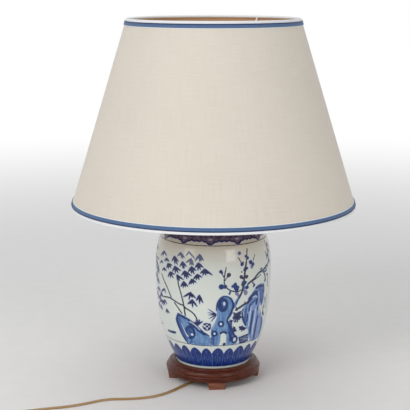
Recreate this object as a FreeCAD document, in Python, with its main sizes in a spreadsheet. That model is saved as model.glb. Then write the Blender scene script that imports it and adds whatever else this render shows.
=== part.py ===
import FreeCAD, Part
import math
import os
import re
import Sketcher
from FreeCAD import Placement, Rotation, Vector

# Ginger jar lamp: a blue-and-white porcelain jar on a turned wooden stand, clamped by a threaded
# rod between a brass cap and a nut under the stand, with a lampholder and a fabric cone shade.
# Millimetres. Z up, the lamp's axis at X = Y = 0, the table at Z = 0, the photographed front at -Y.

SIZES = [
    # wooden stand and its feet
    ("foot_height", 11.6, "gap between table and stand"),
    ("foot_reach", 66.5, "middle of a foot from the lamp's axis"),
    ("foot_width", 29.0, "foot, along the rim, at its top"),
    ("foot_depth", 16.0, "foot, across the rim, at its top"),
    ("foot_taper", 3.0, "how much narrower the foot is at the table"),
    ("foot_corner", 2.5, "rounding of the foot's upright corners"),
    ("foot_azimuth", -85.0, "front foot, degrees from +X"),
    ("stand_r", 76.2, "widest bead of the stand"),
    ("seat_z", 30.0, "floor of the jar's seat in the stand"),
    ("seat_r", 62.4, "radius of the seat"),
    ("cavity_r", 48.0, "hollow under the stand"),
    ("cavity_z", 26.0, "ceiling of the hollow under the stand"),
    # porcelain jar: radius and height of the stations of its outer line
    ("jar_foot_r", 61.6, "foot, top"),
    ("jar_foot_z", 36.0, "foot, top"),
    ("jar_flare_r", 68.1, "flare above the foot"),
    ("jar_flare_z", 48.5, "flare above the foot"),
    ("jar_low_r", 80.7, "lower body"),
    ("jar_low_z", 78.3, "lower body"),
    ("jar_rise_r", 87.5, "rising body"),
    ("jar_rise_z", 105.0, "rising body"),
    ("jar_side_r", 91.0, "long side"),
    ("jar_side_z", 140.0, "long side"),
    ("jar_belly_r", 93.0, "widest"),
    ("jar_belly_z", 180.0, "widest"),
    ("jar_upper_r", 91.2, "upper body"),
    ("jar_upper_z", 212.0, "upper body"),
    ("jar_ring_r", 85.2, "painted ring under the shoulder"),
    ("jar_ring_z", 236.0, "painted ring under the shoulder"),
    ("jar_turn_r", 77.6, "turn of the shoulder"),
    ("jar_turn_z", 249.0, "turn of the shoulder"),
    ("jar_shoulder_r", 65.8, "shoulder"),
    ("jar_shoulder_z", 259.0, "shoulder"),
    ("jar_neck_r", 48.5, "neck"),
    ("jar_neck_z", 265.5, "root of the neck"),
    ("jar_mouth_z", 274.0, "rim of the mouth"),
    ("jar_wall", 4.6, "thickness of the porcelain"),
    # threaded rod, its nut and washers
    ("rod_r", 5.0, "M10 x 1 rod"),
    ("rod_bore_r", 3.4, "bore of the rod"),
    ("rod_bottom", 18.0, "lower end of the rod"),
    ("rod_top", 353.0, "upper end of the rod"),
    ("rod_hole_r", 5.4, "clearance hole for the rod"),
    ("nut_flats", 14.0, "nut across flats"),
    ("nut_height", 4.5, "nut thickness"),
    ("washer_height", 1.2, "steel washer thickness"),
    ("pad_height", 1.4, "rubber washer thickness"),
    # brass cap and neck tube
    ("cap_r", 50.3, "turned-down lip of the brass cap"),
    ("cap_top", 282.0, "boss of the brass cap"),
    ("tube_r", 7.0, "neck tube"),
    # lampholder for an E27 lamp
    ("holder_z", 345.0, "lower end of the lampholder"),
    ("holder_r", 19.2, "lampholder outside"),
    ("joint_z", 370.0, "where the holder's cap meets its sleeve"),
    ("holder_top", 410.2, "mouth of the lampholder"),
    ("knob_z", 362.5, "axis of the switch knob"),
    ("fitter_z", 400.0, "underside of the shade's centre ring"),
    ("fitter_r", 20.2, "hole in the shade's centre ring"),
    ("ring_height", 4.0, "threaded clamp rings"),
    # E27 lamp with a 60 mm bulb
    ("lamp_tip", 386.3, "contact of the lamp"),
    ("bulb_r", 30.0, "ball of the bulb"),
    ("bulb_z", 458.0, "centre of the ball"),
    ("bulb_wall", 0.8, "thickness of the glass"),
    # cone shade, outside of the fabric
    ("shade_low_r", 225.0, "lower edge radius"),
    ("shade_top_r", 135.0, "upper edge radius"),
    ("shade_low", 285.6, "lower edge"),
    ("shade_top", 578.0, "upper edge"),
    ("fabric", 0.5, "fabric thickness"),
    ("lining", 0.7, "stiff lining thickness"),
    ("ring_wire", 1.6, "radius of the shade's ring wire"),
    ("arm_wire", 1.5, "radius of the shade's arms"),
    ("arm_azimuth", 57.0, "first arm, degrees from +X"),
    ("tape_width", 10.5, "white tape"),
    ("tape", 0.45, "white tape thickness"),
    ("braid_start", 4.0, "blue braid, from the shade's edge"),
    ("braid_width", 5.4, "blue braid"),
    ("braid", 0.7, "blue braid thickness"),
    # flat twin lead and plug
    ("lead_width", 5.6, "width of the twin lead"),
    ("coil_r", 44.7, "outer turns of the coiled lead"),
    ("coil_inner_r", 22.5, "inner turns of the coiled lead"),
    ("coil_rise", 6.05, "one layer of turns to the next"),
    ("coil_lift", 0.85, "tie under the coil"),
    ("coil_turns", 3.0, "turns in one layer"),
    ("coil_x", -338.0, "middle of the coil"),
    ("coil_y", -236.0, "middle of the coil"),
    ("lead_heading", -158.0, "direction of the lead where it reaches the coil, degrees"),
    ("plug_length", 34.0, "plug body"),
    ("plug_width", 35.3, "plug face"),
    ("plug_height", 13.7, "plug face"),
    ("pin_r", 2.0, "plug pin"),
    ("pin_length", 19.0, "plug pin out of the plug"),
    ("pin_pitch", 18.6, "between the pins"),
]

# Free route of the lead from the rod to the coil, by hand along the photographed curve: x, y, z.
LEAD_ROUTE = [
    (0.0, 0.0, 18.0),
    (0.0, 0.0, 9.0),
    (-3.6, -4.4, 3.4),
    (-12.5, -15.2, 2.8),
    (-26.0, -31.0, 2.8),
    (-44.0, -53.5, 2.8),
    (-70.0, -90.0, 2.8),
    (-98.0, -110.5, 2.8),
    (-130.0, -117.2, 2.8),
    (-164.0, -117.5, 2.8),
    (-196.0, -138.0, 2.8),
    (-222.0, -150.5, 2.8),
    (-252.0, -158.0, 2.8),
    (-284.0, -170.0, 2.8),
    (-321.4, -181.1, 3.65),
]

doc = FreeCAD.newDocument("ginger_jar_lamp")
sheet = doc.addObject("Spreadsheet::Sheet", "sizes")
for row, (alias, value, note) in enumerate(SIZES, start=1):
    sheet.set(f"A{row}", note)
    sheet.set(f"B{row}", str(value))
    sheet.setAlias(f"B{row}", alias)
doc.recompute()

ALIASES = {entry[0] for entry in SIZES}
NODES = []


def linked(expression):
    """The expression with every cell's alias written as the sheet's own."""
    return re.sub(r"[a-z_]+", lambda word: "sizes." * (word.group() in ALIASES) + word.group(),
                  expression)


def size(expression):
    """Value of an expression of the sheet's cells."""
    return float(sheet.evalExpression(expression))


def kept(shape_object, label):
    """Names an object as a sub-part of the lamp."""
    shape_object.Label = label
    NODES.append(shape_object)
    return shape_object


def feature(label, shape):
    """A sub-part given by its finished shape."""
    part = doc.addObject("Part::Feature", label)
    part.Shape = shape
    return kept(part, label)


# ---------------------------------------------------------------- sketches and bodies

def sketch_on(body, name, role, offset="0"):
    """An empty sketch on one of the body's origin planes, moved along the plane's normal."""
    sketch = body.newObject("Sketcher::SketchObject", name)
    plane = next(item for item in body.Origin.OriginFeatures if item.Role == role)
    sketch.AttachmentSupport = (plane, [""])
    sketch.MapMode = "FlatFace"
    if offset != "0":
        sketch.AttachmentOffset = Placement(Vector(0, 0, size(offset)), Rotation())
        sketch.setExpression("AttachmentOffset.Base.z", linked(offset))
    return sketch


def pin_down(sketch, geometry, end, across, up):
    """Holds one end of a line or arc at a place given by two expressions."""
    for kind, axis, expression in (("DistanceX", -2, across), ("DistanceY", -1, up)):
        if size(expression) == 0:
            sketch.addConstraint(Sketcher.Constraint("PointOnObject", geometry, end, axis))
            continue
        index = sketch.addConstraint(
            Sketcher.Constraint(kind, -1, 1, geometry, end, size(expression)))
        name = f"{kind[-1].lower()}_{geometry}"
        sketch.renameConstraint(index, name)
        sketch.setExpression("Constraints." + name, linked(expression))


def draw(sketch, corners, closed=True):
    """Lines and arcs through corners (across, up) or (across, up, radius of the arc that leads
    there, positive when it turns left)."""
    places = [Vector(size(corner[0]), size(corner[1]), 0) for corner in corners]
    spans = len(corners) if closed else len(corners) - 1
    starts = []
    ends = []
    for k in range(spans):
        here, there = places[k], places[(k + 1) % len(places)]
        target = corners[(k + 1) % len(corners)]
        if len(target) == 2:
            index = sketch.addGeometry(Part.LineSegment(here, there))
            starts.append((index, 1))
            ends.append((index, 2))
            continue
        radius = size(target[2])
        chord = there - here
        left = Vector(-chord.y, chord.x, 0).normalize()
        reach = math.sqrt(max(radius ** 2 - (chord.Length / 2) ** 2, 0)) * math.copysign(1, radius)
        centre = (here + there) / 2 + left * reach
        first, last = (here, there) if radius > 0 else (there, here)
        angles = [math.atan2(point.y - centre.y, point.x - centre.x) for point in (first, last)]
        circle = Part.Circle(centre, Vector(0, 0, 1), abs(radius))
        turn = (angles[1] - angles[0]) % (2 * math.pi)
        index = sketch.addGeometry(Part.ArcOfCircle(circle, angles[0], angles[0] + turn))
        starts.append((index, 1 if radius > 0 else 2))
        ends.append((index, 2 if radius > 0 else 1))
        bend = sketch.addConstraint(Sketcher.Constraint("Radius", index, abs(radius)))
        sketch.renameConstraint(bend, f"bend_{index}")
        expression = target[2] if radius > 0 else f"-({target[2]})"
        sketch.setExpression(f"Constraints.bend_{index}", linked(expression))
    for k in range(spans if closed else spans - 1):
        following = starts[(k + 1) % spans]
        sketch.addConstraint(Sketcher.Constraint("Coincident", *ends[k], *following))
    for k in range(spans):
        pin_down(sketch, *starts[k], corners[k][0], corners[k][1])
    if not closed:
        index, end = ends[-1]
        across = sketch.addConstraint(
            Sketcher.Constraint("DistanceX", -1, 1, index, end, size(corners[-1][0])))
        sketch.setExpression(f"Constraints[{across}]", linked(corners[-1][0]))
        up = sketch.addConstraint(
            Sketcher.Constraint("DistanceY", -1, 1, index, end, size(corners[-1][1])))
        sketch.setExpression(f"Constraints[{up}]", linked(corners[-1][1]))


def draw_circle(sketch, across, up, radius):
    """A circle held by expressions."""
    index = sketch.addGeometry(
        Part.Circle(Vector(size(across), size(up), 0), Vector(0, 0, 1), size(radius)))
    sketch.renameConstraint(
        sketch.addConstraint(Sketcher.Constraint("Radius", index, size(radius))), "radius")
    sketch.setExpression("Constraints.radius", linked(radius))
    pin_down(sketch, index, 3, across, up)


def turned(label, corners):
    """A body turned about the lamp's axis; its corners are (radius, height)."""
    body = doc.addObject("PartDesign::Body", label)
    outline = sketch_on(body, label + "_outline", "XZ_Plane")
    draw(outline, corners)
    turn = body.newObject("PartDesign::Revolution", label + "_turn")
    turn.Profile = outline
    turn.ReferenceAxis = (outline, ["V_Axis"])
    turn.Angle = 360
    body.Tip = turn
    return kept(body, label)


def ring(label, inner, outer, low, high):
    """A plain turned ring."""
    return turned(label, [(inner, low), (outer, low), (outer, high), (inner, high)])


def drill_sideways(body, name, role, up, radius, length):
    """A round hole from the lamp's axis outwards, along the normal of one origin plane."""
    sketch = sketch_on(body, name + "_sketch", role)
    draw_circle(sketch, "0", up, radius)
    hole = body.newObject("PartDesign::Pocket", name)
    hole.Profile = sketch
    hole.Length = size(length)
    hole.setExpression("Length", linked(length))
    hole.Reversed = role == "YZ_Plane"
    body.Tip = hole


def round_wire(label, reach, height, radius):
    """A ring of wire round the lamp's axis."""
    wire = doc.addObject("Part::Torus", label)
    wire.setExpression("Radius1", linked(reach))
    wire.setExpression("Radius2", linked(radius))
    wire.setExpression("Placement.Base.z", linked(height))
    return kept(wire, label)


def cylinder(name, radius, height, base):
    """A cylinder along Z that is used in a boolean."""
    part = doc.addObject("Part::Cylinder", name)
    part.setExpression("Radius", linked(radius))
    part.setExpression("Height", linked(height))
    part.Placement = Placement(base, Rotation())
    return part


# ---------------------------------------------------------------- stand

def wooden_stand():
    turned("wooden_stand", [
        ("rod_hole_r", "cavity_z"),
        ("cavity_r", "cavity_z"),
        ("cavity_r", "foot_height"),
        ("stand_r - 2.7", "foot_height"),
        ("stand_r - 0.7", "foot_height + 2", "2"),
        ("stand_r - 0.4", "foot_height + 4.2"),
        ("stand_r - 0.3", "foot_height + 5.6", "-0.75"),
        ("stand_r - 0.8", "foot_height + 9.2", "2.2"),
        ("stand_r - 1.7", "foot_height + 9.6"),
        ("stand_r - 5.9", "seat_z - 1.7", "8.4"),
        ("stand_r - 6.7", "seat_z - 1.5"),
        ("stand_r - 9.5", "seat_z - 0.9", "-1.6"),
        ("stand_r - 9.5", "seat_z + 0.2"),
        ("stand_r - 11.4", "seat_z + 2", "1.95"),
        ("seat_r + 0.8", "seat_z + 2"),
        ("seat_r", "seat_z + 1.2", "0.8"),
        ("seat_r", "seat_z"),
        ("rod_hole_r", "seat_z"),
    ])


def rounded_block(inner, outer, half_width, corner):
    """Corners of a rectangle across the +X axis, rounded by arcs."""
    return [
        (f"{inner} + {corner}", f"-({half_width})"),
        (f"{outer} - {corner}", f"-({half_width})"),
        (outer, f"{corner} - ({half_width})", corner),
        (outer, f"{half_width} - {corner}"),
        (f"{outer} - {corner}", half_width, corner),
        (f"{inner} + {corner}", half_width),
        (inner, f"{half_width} - {corner}", corner),
        (inner, f"{corner} - ({half_width})"),
    ]


def stand_foot(label, azimuth):
    """A block that narrows towards the table, glued under the rim."""
    body = doc.addObject("PartDesign::Body", label)
    levels = []
    for name, shrink, height in (("table", "foot_taper / 2", "0"), ("rim", "0", "foot_height")):
        sketch = sketch_on(body, f"{label}_{name}", "XY_Plane", height)
        outline = rounded_block(f"foot_reach - foot_depth / 2 + {shrink}",
                                f"foot_reach + foot_depth / 2 - {shrink}",
                                f"foot_width / 2 - {shrink}", "foot_corner")
        # the last corner's arc leads back to the first point
        outline[0] += ("foot_corner",)
        draw(sketch, outline)
        levels.append(sketch)
    loft = body.newObject("PartDesign::AdditiveLoft", label + "_loft")
    loft.Profile = levels[0]
    loft.Sections = [levels[1]]
    loft.Ruled = True
    body.Tip = loft
    body.Placement = Placement(Vector(), Rotation(Vector(0, 0, 1), azimuth))
    kept(body, label)


# ---------------------------------------------------------------- jar

JAR_STATIONS = ["foot", "flare", "low", "rise", "side", "belly", "upper", "ring", "turn",
                "shoulder"]


def offset_line(points, distance):
    """The points moved to their left, square to the line through their neighbours."""
    moved = []
    for k, point in enumerate(points):
        along = points[min(k + 1, len(points) - 1)] - points[max(k - 1, 0)]
        moved.append(point + Vector(-along.z, 0, along.x).normalize() * distance)
    return moved


def arc_from(start, along, end):
    """The arc that leaves start in a direction and ends at another point."""
    chord = end - start
    ahead = chord / chord.Length
    aside = along - ahead * along.dot(ahead)
    sagitta = chord.Length / 2 * math.tan(along.getAngle(chord) / 2)
    if sagitta < 1e-4:
        return Part.LineSegment(start, end).toShape()
    return Part.Arc(start, (start + end) / 2 + aside.normalize() * sagitta, end).toShape()


def smooth_line(points):
    """Pairs of tangent arcs from point to point, with one direction on both sides of each."""
    ways = []
    for k in range(len(points)):
        k = min(max(k, 1), len(points) - 2)
        before, after = points[k] - points[k - 1], points[k + 1] - points[k]
        way = before / before.Length ** 2 + after / after.Length ** 2
        ways.append(way.normalize())
    ways[0] = mirrored(ways[1], points[1] - points[0])
    ways[-1] = mirrored(ways[-2], points[-1] - points[-2])
    edges = []
    for start, end, leaving, arriving in zip(points, points[1:], ways, ways[1:]):
        chord = end - start
        both = leaving + arriving
        spread = 2 * (1 - leaving.dot(arriving))
        if spread < 1e-9:
            reach = chord.Length / 2
        else:
            root = math.sqrt(chord.dot(both) ** 2 + spread * chord.dot(chord))
            reach = (root - chord.dot(both)) / spread
        join = (start + end + (leaving - arriving) * reach) / 2
        edges.append(arc_from(start, leaving, join))
        edges.append(arc_from(join, chord_way(join, start, leaving), end))
    return edges


def mirrored(way, chord):
    """The direction at the other end of an arc over a chord."""
    ahead = chord / chord.Length
    return ahead * (2 * way.dot(ahead)) - way


def chord_way(join, start, leaving):
    """Direction at join of the arc that leaves start."""
    return mirrored(leaving, join - start)


def jar_body():
    """Thrown jar: a smooth line through its stations, a foot ring and a short neck, with an even
    wall and a hole drilled in the bottom for the rod."""
    outside = [Vector(size(f"jar_{name}_r"), 0, size(f"jar_{name}_z")) for name in JAR_STATIONS]
    inside = offset_line(outside, size("jar_wall"))
    neck_r = size("jar_neck_r")
    neck_z = size("jar_neck_z")
    mouth_z = size("jar_mouth_z")
    wall = size("jar_wall")
    seat = size("seat_z")
    foot_r = size("jar_foot_r")
    lip = (wall - 0.6) / 2
    root = Vector(neck_r + 3, 0, neck_z)
    edges = smooth_line(outside + [Vector(neck_r + 8, 0, neck_z - 1.8), root])

    def run(*places):
        start = edges[-1].lastVertex().Point if edges else None
        for place in places:
            edges.append(Part.LineSegment(start, place).toShape())
            start = place

    def arc(middle, end):
        start = edges[-1].lastVertex().Point
        edges.append(Part.Arc(start, middle, end).toShape())

    arc(Vector(neck_r + 0.8, 0, neck_z + 0.9), Vector(neck_r, 0, neck_z + 3))
    run(Vector(neck_r, 0, mouth_z - lip))
    arc(Vector(neck_r - lip, 0, mouth_z), Vector(neck_r - 2 * lip, 0, mouth_z - lip))
    run(Vector(neck_r - 2 * lip, 0, neck_z - 1.2))
    shoulder_inside = inside[-1]
    run(shoulder_inside)
    edges += smooth_line(list(reversed(inside[1:])))
    floor_z = seat + 3.5 + wall
    run(Vector(foot_r - 6.5, 0, floor_z), Vector(size("rod_r") + 1.5, 0, floor_z),
        Vector(size("rod_r") + 1.5, 0, seat + 3.5), Vector(foot_r - 7.6, 0, seat + 3.5),
        Vector(foot_r - 7, 0, seat), Vector(foot_r - 1.4, 0, seat),
        Vector(foot_r - 0.6, 0, seat + 0.8), Vector(foot_r - 0.6, 0, seat + 4.6), outside[0])
    face = Part.Face(Part.Wire(edges))
    feature("jar_body", face.revolve(Vector(), Vector(0, 0, 1), 360))


# ---------------------------------------------------------------- rod, nut, brass cap, neck tube

def clamp_stack():
    ring("threaded_rod", "rod_bore_r", "rod_r", "rod_bottom", "rod_top")
    ring("stand_rubber_washer", "rod_r + 0.2", "14", "cavity_z - pad_height", "cavity_z")
    washer_top = "cavity_z - pad_height"
    ring("stand_steel_washer", "rod_r + 0.2", "12.5", washer_top + " - washer_height", washer_top)
    nut_top = washer_top + " - washer_height"
    blank = doc.addObject("Part::Prism", "nut_blank")
    blank.Polygon = 6
    blank.setExpression("Circumradius", linked("nut_flats / sqrt(3)"))
    blank.setExpression("Height", linked("nut_height"))
    bore = cylinder("nut_bore", "rod_r", "nut_height", Vector())
    nut = doc.addObject("Part::Cut", "stand_hex_nut")
    nut.Base = blank
    nut.Tool = bore
    nut.setExpression("Placement.Base.z", linked(nut_top + " - nut_height"))
    kept(nut, "stand_hex_nut")
    turned("lead_bushing", [
        ("lead_width / 2 + 0.15", "rod_bottom - 1.7"), ("rod_r + 0.4", "rod_bottom - 1.7"),
        ("rod_r + 1", "rod_bottom - 1.1"), ("rod_r + 1", "rod_bottom"),
        ("rod_bore_r - 0.03", "rod_bottom"), ("rod_bore_r - 0.03", "rod_bottom + 7"),
        ("lead_width / 2 + 0.15", "rod_bottom + 7")])
    turned("vase_cap", [
        ("cap_r - 1.2", "jar_mouth_z - 4.6"),
        ("cap_r + 0.6", "jar_mouth_z - 4.6"),
        ("cap_r + 0.6", "jar_mouth_z - 3.4", "0.7"),
        ("cap_r", "jar_mouth_z - 2.8"),
        ("cap_r", "jar_mouth_z - 1.2"),
        ("cap_r - 2.5", "jar_mouth_z + 1.3", "2.6"),
        ("26", "jar_mouth_z + 4.3", "140"),
        ("11", "cap_top - 2.4", "-60"),
        ("9.4", "cap_top - 1"),
        ("9", "cap_top"),
        ("rod_r + 0.2", "cap_top"),
        ("rod_r + 0.2", "cap_top - 3.6"),
        ("11", "cap_top - 3.5"),
        ("26", "jar_mouth_z + 3.2", "60"),
        ("cap_r - 2.7", "jar_mouth_z + 0.2", "-139"),
        ("cap_r - 1.2", "jar_mouth_z - 1.3", "-1.55"),
    ])
    ring("neck_tube", "rod_r + 0.3", "tube_r", "cap_top", "holder_z")


# ---------------------------------------------------------------- lampholder

def holder_cap():
    """Brass cap that screws onto the rod and carries the switch knob's bearing hole."""
    body = turned("holder_cap", [
        ("rod_r + 0.05", "holder_z"),
        ("8.6", "holder_z"),
        ("8.6", "holder_z + 5.4"),
        ("11", "holder_z + 7.8", "-2.5"),
        ("holder_r - 2.2", "holder_z + 10.2"),
        ("holder_r", "holder_z + 12.6", "2.6"),
        ("holder_r", "joint_z"),
        ("holder_r - 1.1", "joint_z"),
        ("holder_r - 1.1", "holder_z + 13"),
        ("holder_r - 2.6", "holder_z + 11.4", "-1.7"),
        ("8", "rod_top + 0.2"),
        ("rod_r + 0.05", "rod_top + 0.2"),
    ])
    doc.recompute()
    before = body.Shape.Volume
    drill_sideways(body, "knob_hole", "YZ_Plane", "knob_z", "2.0", "24")
    drill_sideways(body, "grub_hole", "XZ_Plane", "holder_z + 2.7", "1.55", "12")
    doc.recompute()
    assert before - body.Shape.Volume > 25, "the holder's cap has its holes"


def contact_strip():
    """Springy centre contact, riveted to the floor of the insulator."""
    body = doc.addObject("PartDesign::Body", "contact_blade")
    side = sketch_on(body, "contact_side", "XZ_Plane")
    draw(side, [("-7", "381.1"), ("4.5", "381.1"), ("6.4", "384.2"), ("-3.5", "386"),
                ("-3.7", "385.5"), ("5.3", "383.8"), ("4.2", "381.7"), ("-7", "381.7")])
    blade = body.newObject("PartDesign::Pad", "contact_pad")
    blade.Profile = side
    blade.Length = 6
    blade.Midplane = True
    body.Tip = blade
    rivet = cylinder("contact_rivet", "1.9", "7.4", Vector(0, 0, 373.8))
    joined = doc.addObject("Part::Fuse", "centre_contact")
    joined.Base = body
    joined.Tool = rivet
    kept(joined, "centre_contact")


def terminal_screws():
    """Two cheese-head screws that clamp the bared ends of the lead."""
    screws = []
    for side in (-1, 1):
        base = Vector(-7, 8 * side, 369.9)
        head = cylinder(f"screw_head_{len(screws)}", "2.5", "1.8", base)
        shank = cylinder(f"screw_shank_{len(screws)}", "1.3", "6", base)
        screw = doc.addObject("Part::Fuse", f"screw_{len(screws)}")
        screw.Base = head
        screw.Tool = shank
        screws.append(screw)
    group = doc.addObject("Part::Compound", "terminal_screws")
    group.Links = screws
    kept(group, "terminal_screws")


def switch_block():
    """Half-round moulding that holds the switch's contacts, bored for the spindle."""
    block = cylinder("block_blank", "holder_r - 3", "10.5", Vector(0, 0, 358.6))
    block.Angle = 180
    block.Placement = Placement(Vector(0, 0, 358.6), Rotation(Vector(0, 0, 1), -90))
    bore = doc.addObject("Part::Cylinder", "block_bore")
    bore.Radius = 2.1
    bore.Height = 30
    bore.Placement = Placement(Vector(3, 0, size("knob_z")), Rotation(Vector(0, 1, 0), 90))
    flex_room = cylinder("block_flex_room", "4.5", "12", Vector(0, 0, 358))
    tools = doc.addObject("Part::MultiFuse", "block_tools")
    tools.Shapes = [bore, flex_room]
    cut = doc.addObject("Part::Cut", "switch_block")
    cut.Base = block
    cut.Tool = tools
    kept(cut, "switch_block")


def lampholder():
    holder_cap()
    turned("holder_sleeve", [
        ("holder_r - 1.2", "joint_z"), ("holder_r", "joint_z"), ("holder_r", "holder_top - 0.7"),
        ("holder_r - 0.7", "holder_top", "0.7"), ("15.2", "holder_top"),
        ("15.2", "holder_top - 1"), ("holder_r - 1.2", "holder_top - 1")])
    turned("holder_insulator", [
        ("2.1", "376"), ("12", "376"), ("12", "372"), ("holder_r - 1.5", "372"),
        ("holder_r - 1.5", "holder_top - 2"), ("holder_r - 2.4", "holder_top - 1.1"),
        ("14.1", "holder_top - 1.1"), ("14.1", "381"), ("2.1", "381")])
    turned("screw_shell", [
        ("12.6", "381.1"), ("13.9", "381.1"), ("13.9", "406.5"), ("13.5", "406.5"),
        ("13.5", "381.5"), ("12.6", "381.5")])
    contact_strip()
    terminal_screws()
    switch_block()
    grub = doc.addObject("Part::Cylinder", "holder_grub_screw")
    grub.Radius = 1.5
    grub.Height = 4.6
    grub.Placement = Placement(Vector(0, size("rod_r") + 0.02, size("holder_z + 2.7")),
                               Rotation(Vector(1, 0, 0), -90))
    kept(grub, "holder_grub_screw")
    for label, low in (("shade_ring_lower", "fitter_z - 0.3 - ring_height"),
                       ("shade_ring_upper", "fitter_z + 2.3")):
        clamp_ring(label, low)


def clamp_ring(label, low):
    """Threaded ring with finger notches, one under and one over the shade's centre ring."""
    body = turned(label, [
        ("holder_r + 0.02", low), ("24.2", low), ("25", low + " + 0.8"),
        ("25", low + " + ring_height - 0.8"), ("24.2", low + " + ring_height"),
        ("holder_r + 0.02", low + " + ring_height")])
    notch_sketch = sketch_on(body, label + "_notch_sketch", "XY_Plane", low)
    draw_circle(notch_sketch, "26.2", "0", "2.1")
    notch = body.newObject("PartDesign::Pocket", label + "_notch")
    notch.Profile = notch_sketch
    notch.Length = size("ring_height")
    notch.Reversed = True
    doc.recompute()
    pattern = body.newObject("PartDesign::PolarPattern", label + "_notches")
    pattern.Originals = [notch]
    axis = next(item for item in body.Origin.OriginFeatures if item.Role == "Z_Axis")
    pattern.Axis = (axis, [""])
    pattern.Angle = 360
    pattern.Occurrences = 12
    body.Tip = pattern


def switch_knob():
    """Turn knob on a spindle through the side of the lampholder, along +X."""
    across = Placement(Vector(0, 0, size("knob_z")), Rotation(Vector(0, 1, 0), 90))
    spindle = turned("switch_spindle", [
        ("0", "6"), ("1.6", "6"), ("1.6", "20"), ("3", "20"), ("3", "21"), ("1.6", "21"),
        ("1.6", "30"), ("0", "30")])
    spindle.Placement = across
    knob = turned("switch_knob", [
        ("1.62", "21.5"), ("5.4", "21.5"), ("6.2", "22.6"), ("6.9", "33.5"),
        ("5.6", "36.4", "2.6"), ("1.4", "37.1", "18"), ("0", "37.1"), ("0", "30.2"),
        ("1.62", "30.2")])
    flute_sketch = sketch_on(knob, "flute_sketch", "XY_Plane", "21")
    draw_circle(flute_sketch, "7.4", "0", "1.1")
    flute = knob.newObject("PartDesign::Pocket", "flute")
    flute.Profile = flute_sketch
    flute.Length = 14
    flute.Reversed = True
    doc.recompute()
    flutes = knob.newObject("PartDesign::PolarPattern", "flutes")
    flutes.Originals = [flute]
    axis = next(item for item in knob.Origin.OriginFeatures if item.Role == "Z_Axis")
    flutes.Axis = (axis, [""])
    flutes.Angle = 360
    flutes.Occurrences = 12
    knob.Tip = flutes
    knob.Placement = across


# ---------------------------------------------------------------- lamp

def lamp():
    """Screw-in filament lamp: a ball that runs into a waisted neck, and its threaded cap."""
    fall = 40
    down = f"sin({fall} deg)"
    side = f"cos({fall} deg)"
    neck_r = "13.8"
    neck_z = "bulb_z - 44.5"
    turned("bulb_glass", [
        ("12.3", "lamp_tip + 20"), ("12.3", "lamp_tip + 24.4"), (neck_r, neck_z),
        (f"bulb_r * {side}", f"bulb_z - bulb_r * {down}", "-39.2"),
        ("0", "bulb_z + bulb_r", "bulb_r"),
        ("0", "bulb_z + bulb_r - bulb_wall"),
        (f"(bulb_r - bulb_wall) * {side}", f"bulb_z - (bulb_r - bulb_wall) * {down}",
         "-(bulb_r - bulb_wall)"),
        (neck_r + " - bulb_wall", neck_z, "40"),
        ("11.5", "lamp_tip + 24.2"), ("11.5", "lamp_tip + 20")])
    turned("bulb_cap", [
        ("6.6", "lamp_tip + 2.4"), ("12.2", "lamp_tip + 4.9"), ("13.1", "lamp_tip + 6.4"),
        ("13.1", "lamp_tip + 24"), ("12.5", "lamp_tip + 24"), ("12.5", "lamp_tip + 6.8"),
        ("6.6", "lamp_tip + 3.4")])
    turned("bulb_cap_insulator", [
        ("3.3", "lamp_tip + 0.6"), ("6.5", "lamp_tip + 2.3"), ("6.5", "lamp_tip + 3.4"),
        ("0", "lamp_tip + 3.4"), ("0", "lamp_tip + 1.7"), ("3.2", "lamp_tip + 1.6")])
    turned("bulb_contact", [
        ("0", "lamp_tip"), ("3.1", "lamp_tip + 0.5", "11"), ("3.1", "lamp_tip + 1.5"),
        ("0", "lamp_tip + 1.6")])
    turned("bulb_stem", [
        ("0", "lamp_tip + 19"), ("9.4", "lamp_tip + 19"), ("4.2", "lamp_tip + 30", "-9"),
        ("3.2", "bulb_z - 18"), ("1.2", "bulb_z - 16.9", "3"), ("0", "bulb_z - 16.9")])
    tips = [Vector(14 * side, 0, size("bulb_z")) for side in (-1, 1)]
    roots = [Vector(2 * side, 0, size("bulb_z - 19.5")) for side in (-1, 1)]
    supports = [tube([root, (root + tip) / 2 + Vector(0.15 * (tip - root).x, 0, -1.5), tip], 0.4)
                for root, tip in zip(roots, tips)]
    feature("filament_supports", Part.makeCompound(supports))
    sag = Part.Arc(tips[0] + Vector(0.5, 0, 0), Vector(0, 0, size("bulb_z") + 5),
                   tips[1] - Vector(0.5, 0, 0))
    feature("filament", swept(Part.Wire(sag.toShape()), 0.45))


# ---------------------------------------------------------------- shade

RISE = "(shade_top - shade_low)"
TOP_WIRE_Z = "(shade_top - ring_wire - 0.3)"
BOTTOM_WIRE_Z = "(shade_low + ring_wire + 0.3)"


def wall_r(height):
    """Radius of the outside of the fabric at a height."""
    return f"(shade_low_r - (shade_low_r - shade_top_r) * (({height}) - shade_low) / {RISE})"


def wire_r(height):
    """Reach of a ring wire that lies inside the wall at a height."""
    return f"({wall_r(height)} - fabric - lining - ring_wire * 1.05 - 0.05)"


def shade():
    low_r, top_r = "shade_low_r", "shade_top_r"
    turned("shade_fabric", [
        (f"{low_r} - fabric", "shade_low"), (low_r, "shade_low"), (top_r, "shade_top"),
        (f"{top_r} - fabric", "shade_top")])
    skin = "fabric + lining"
    turned("shade_lining", [
        (f"{low_r} - ({skin})", "shade_low"), (f"{low_r} - fabric", "shade_low"),
        (f"{top_r} - fabric", "shade_top"), (f"{top_r} - ({skin})", "shade_top")])
    for name, height, up in (("top", TOP_WIRE_Z, -1), ("bottom", BOTTOM_WIRE_Z, 1)):
        round_wire(f"shade_{name}_ring", wire_r(height), height, "ring_wire")
        edge_r, edge = (top_r, "shade_top") if up < 0 else (low_r, "shade_low")
        white_tape(f"{name}_white_tape", edge_r, edge, wire_r(height), height, up)
        blue_braid(f"{name}_blue_braid", edge, up)
    fitter()


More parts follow.
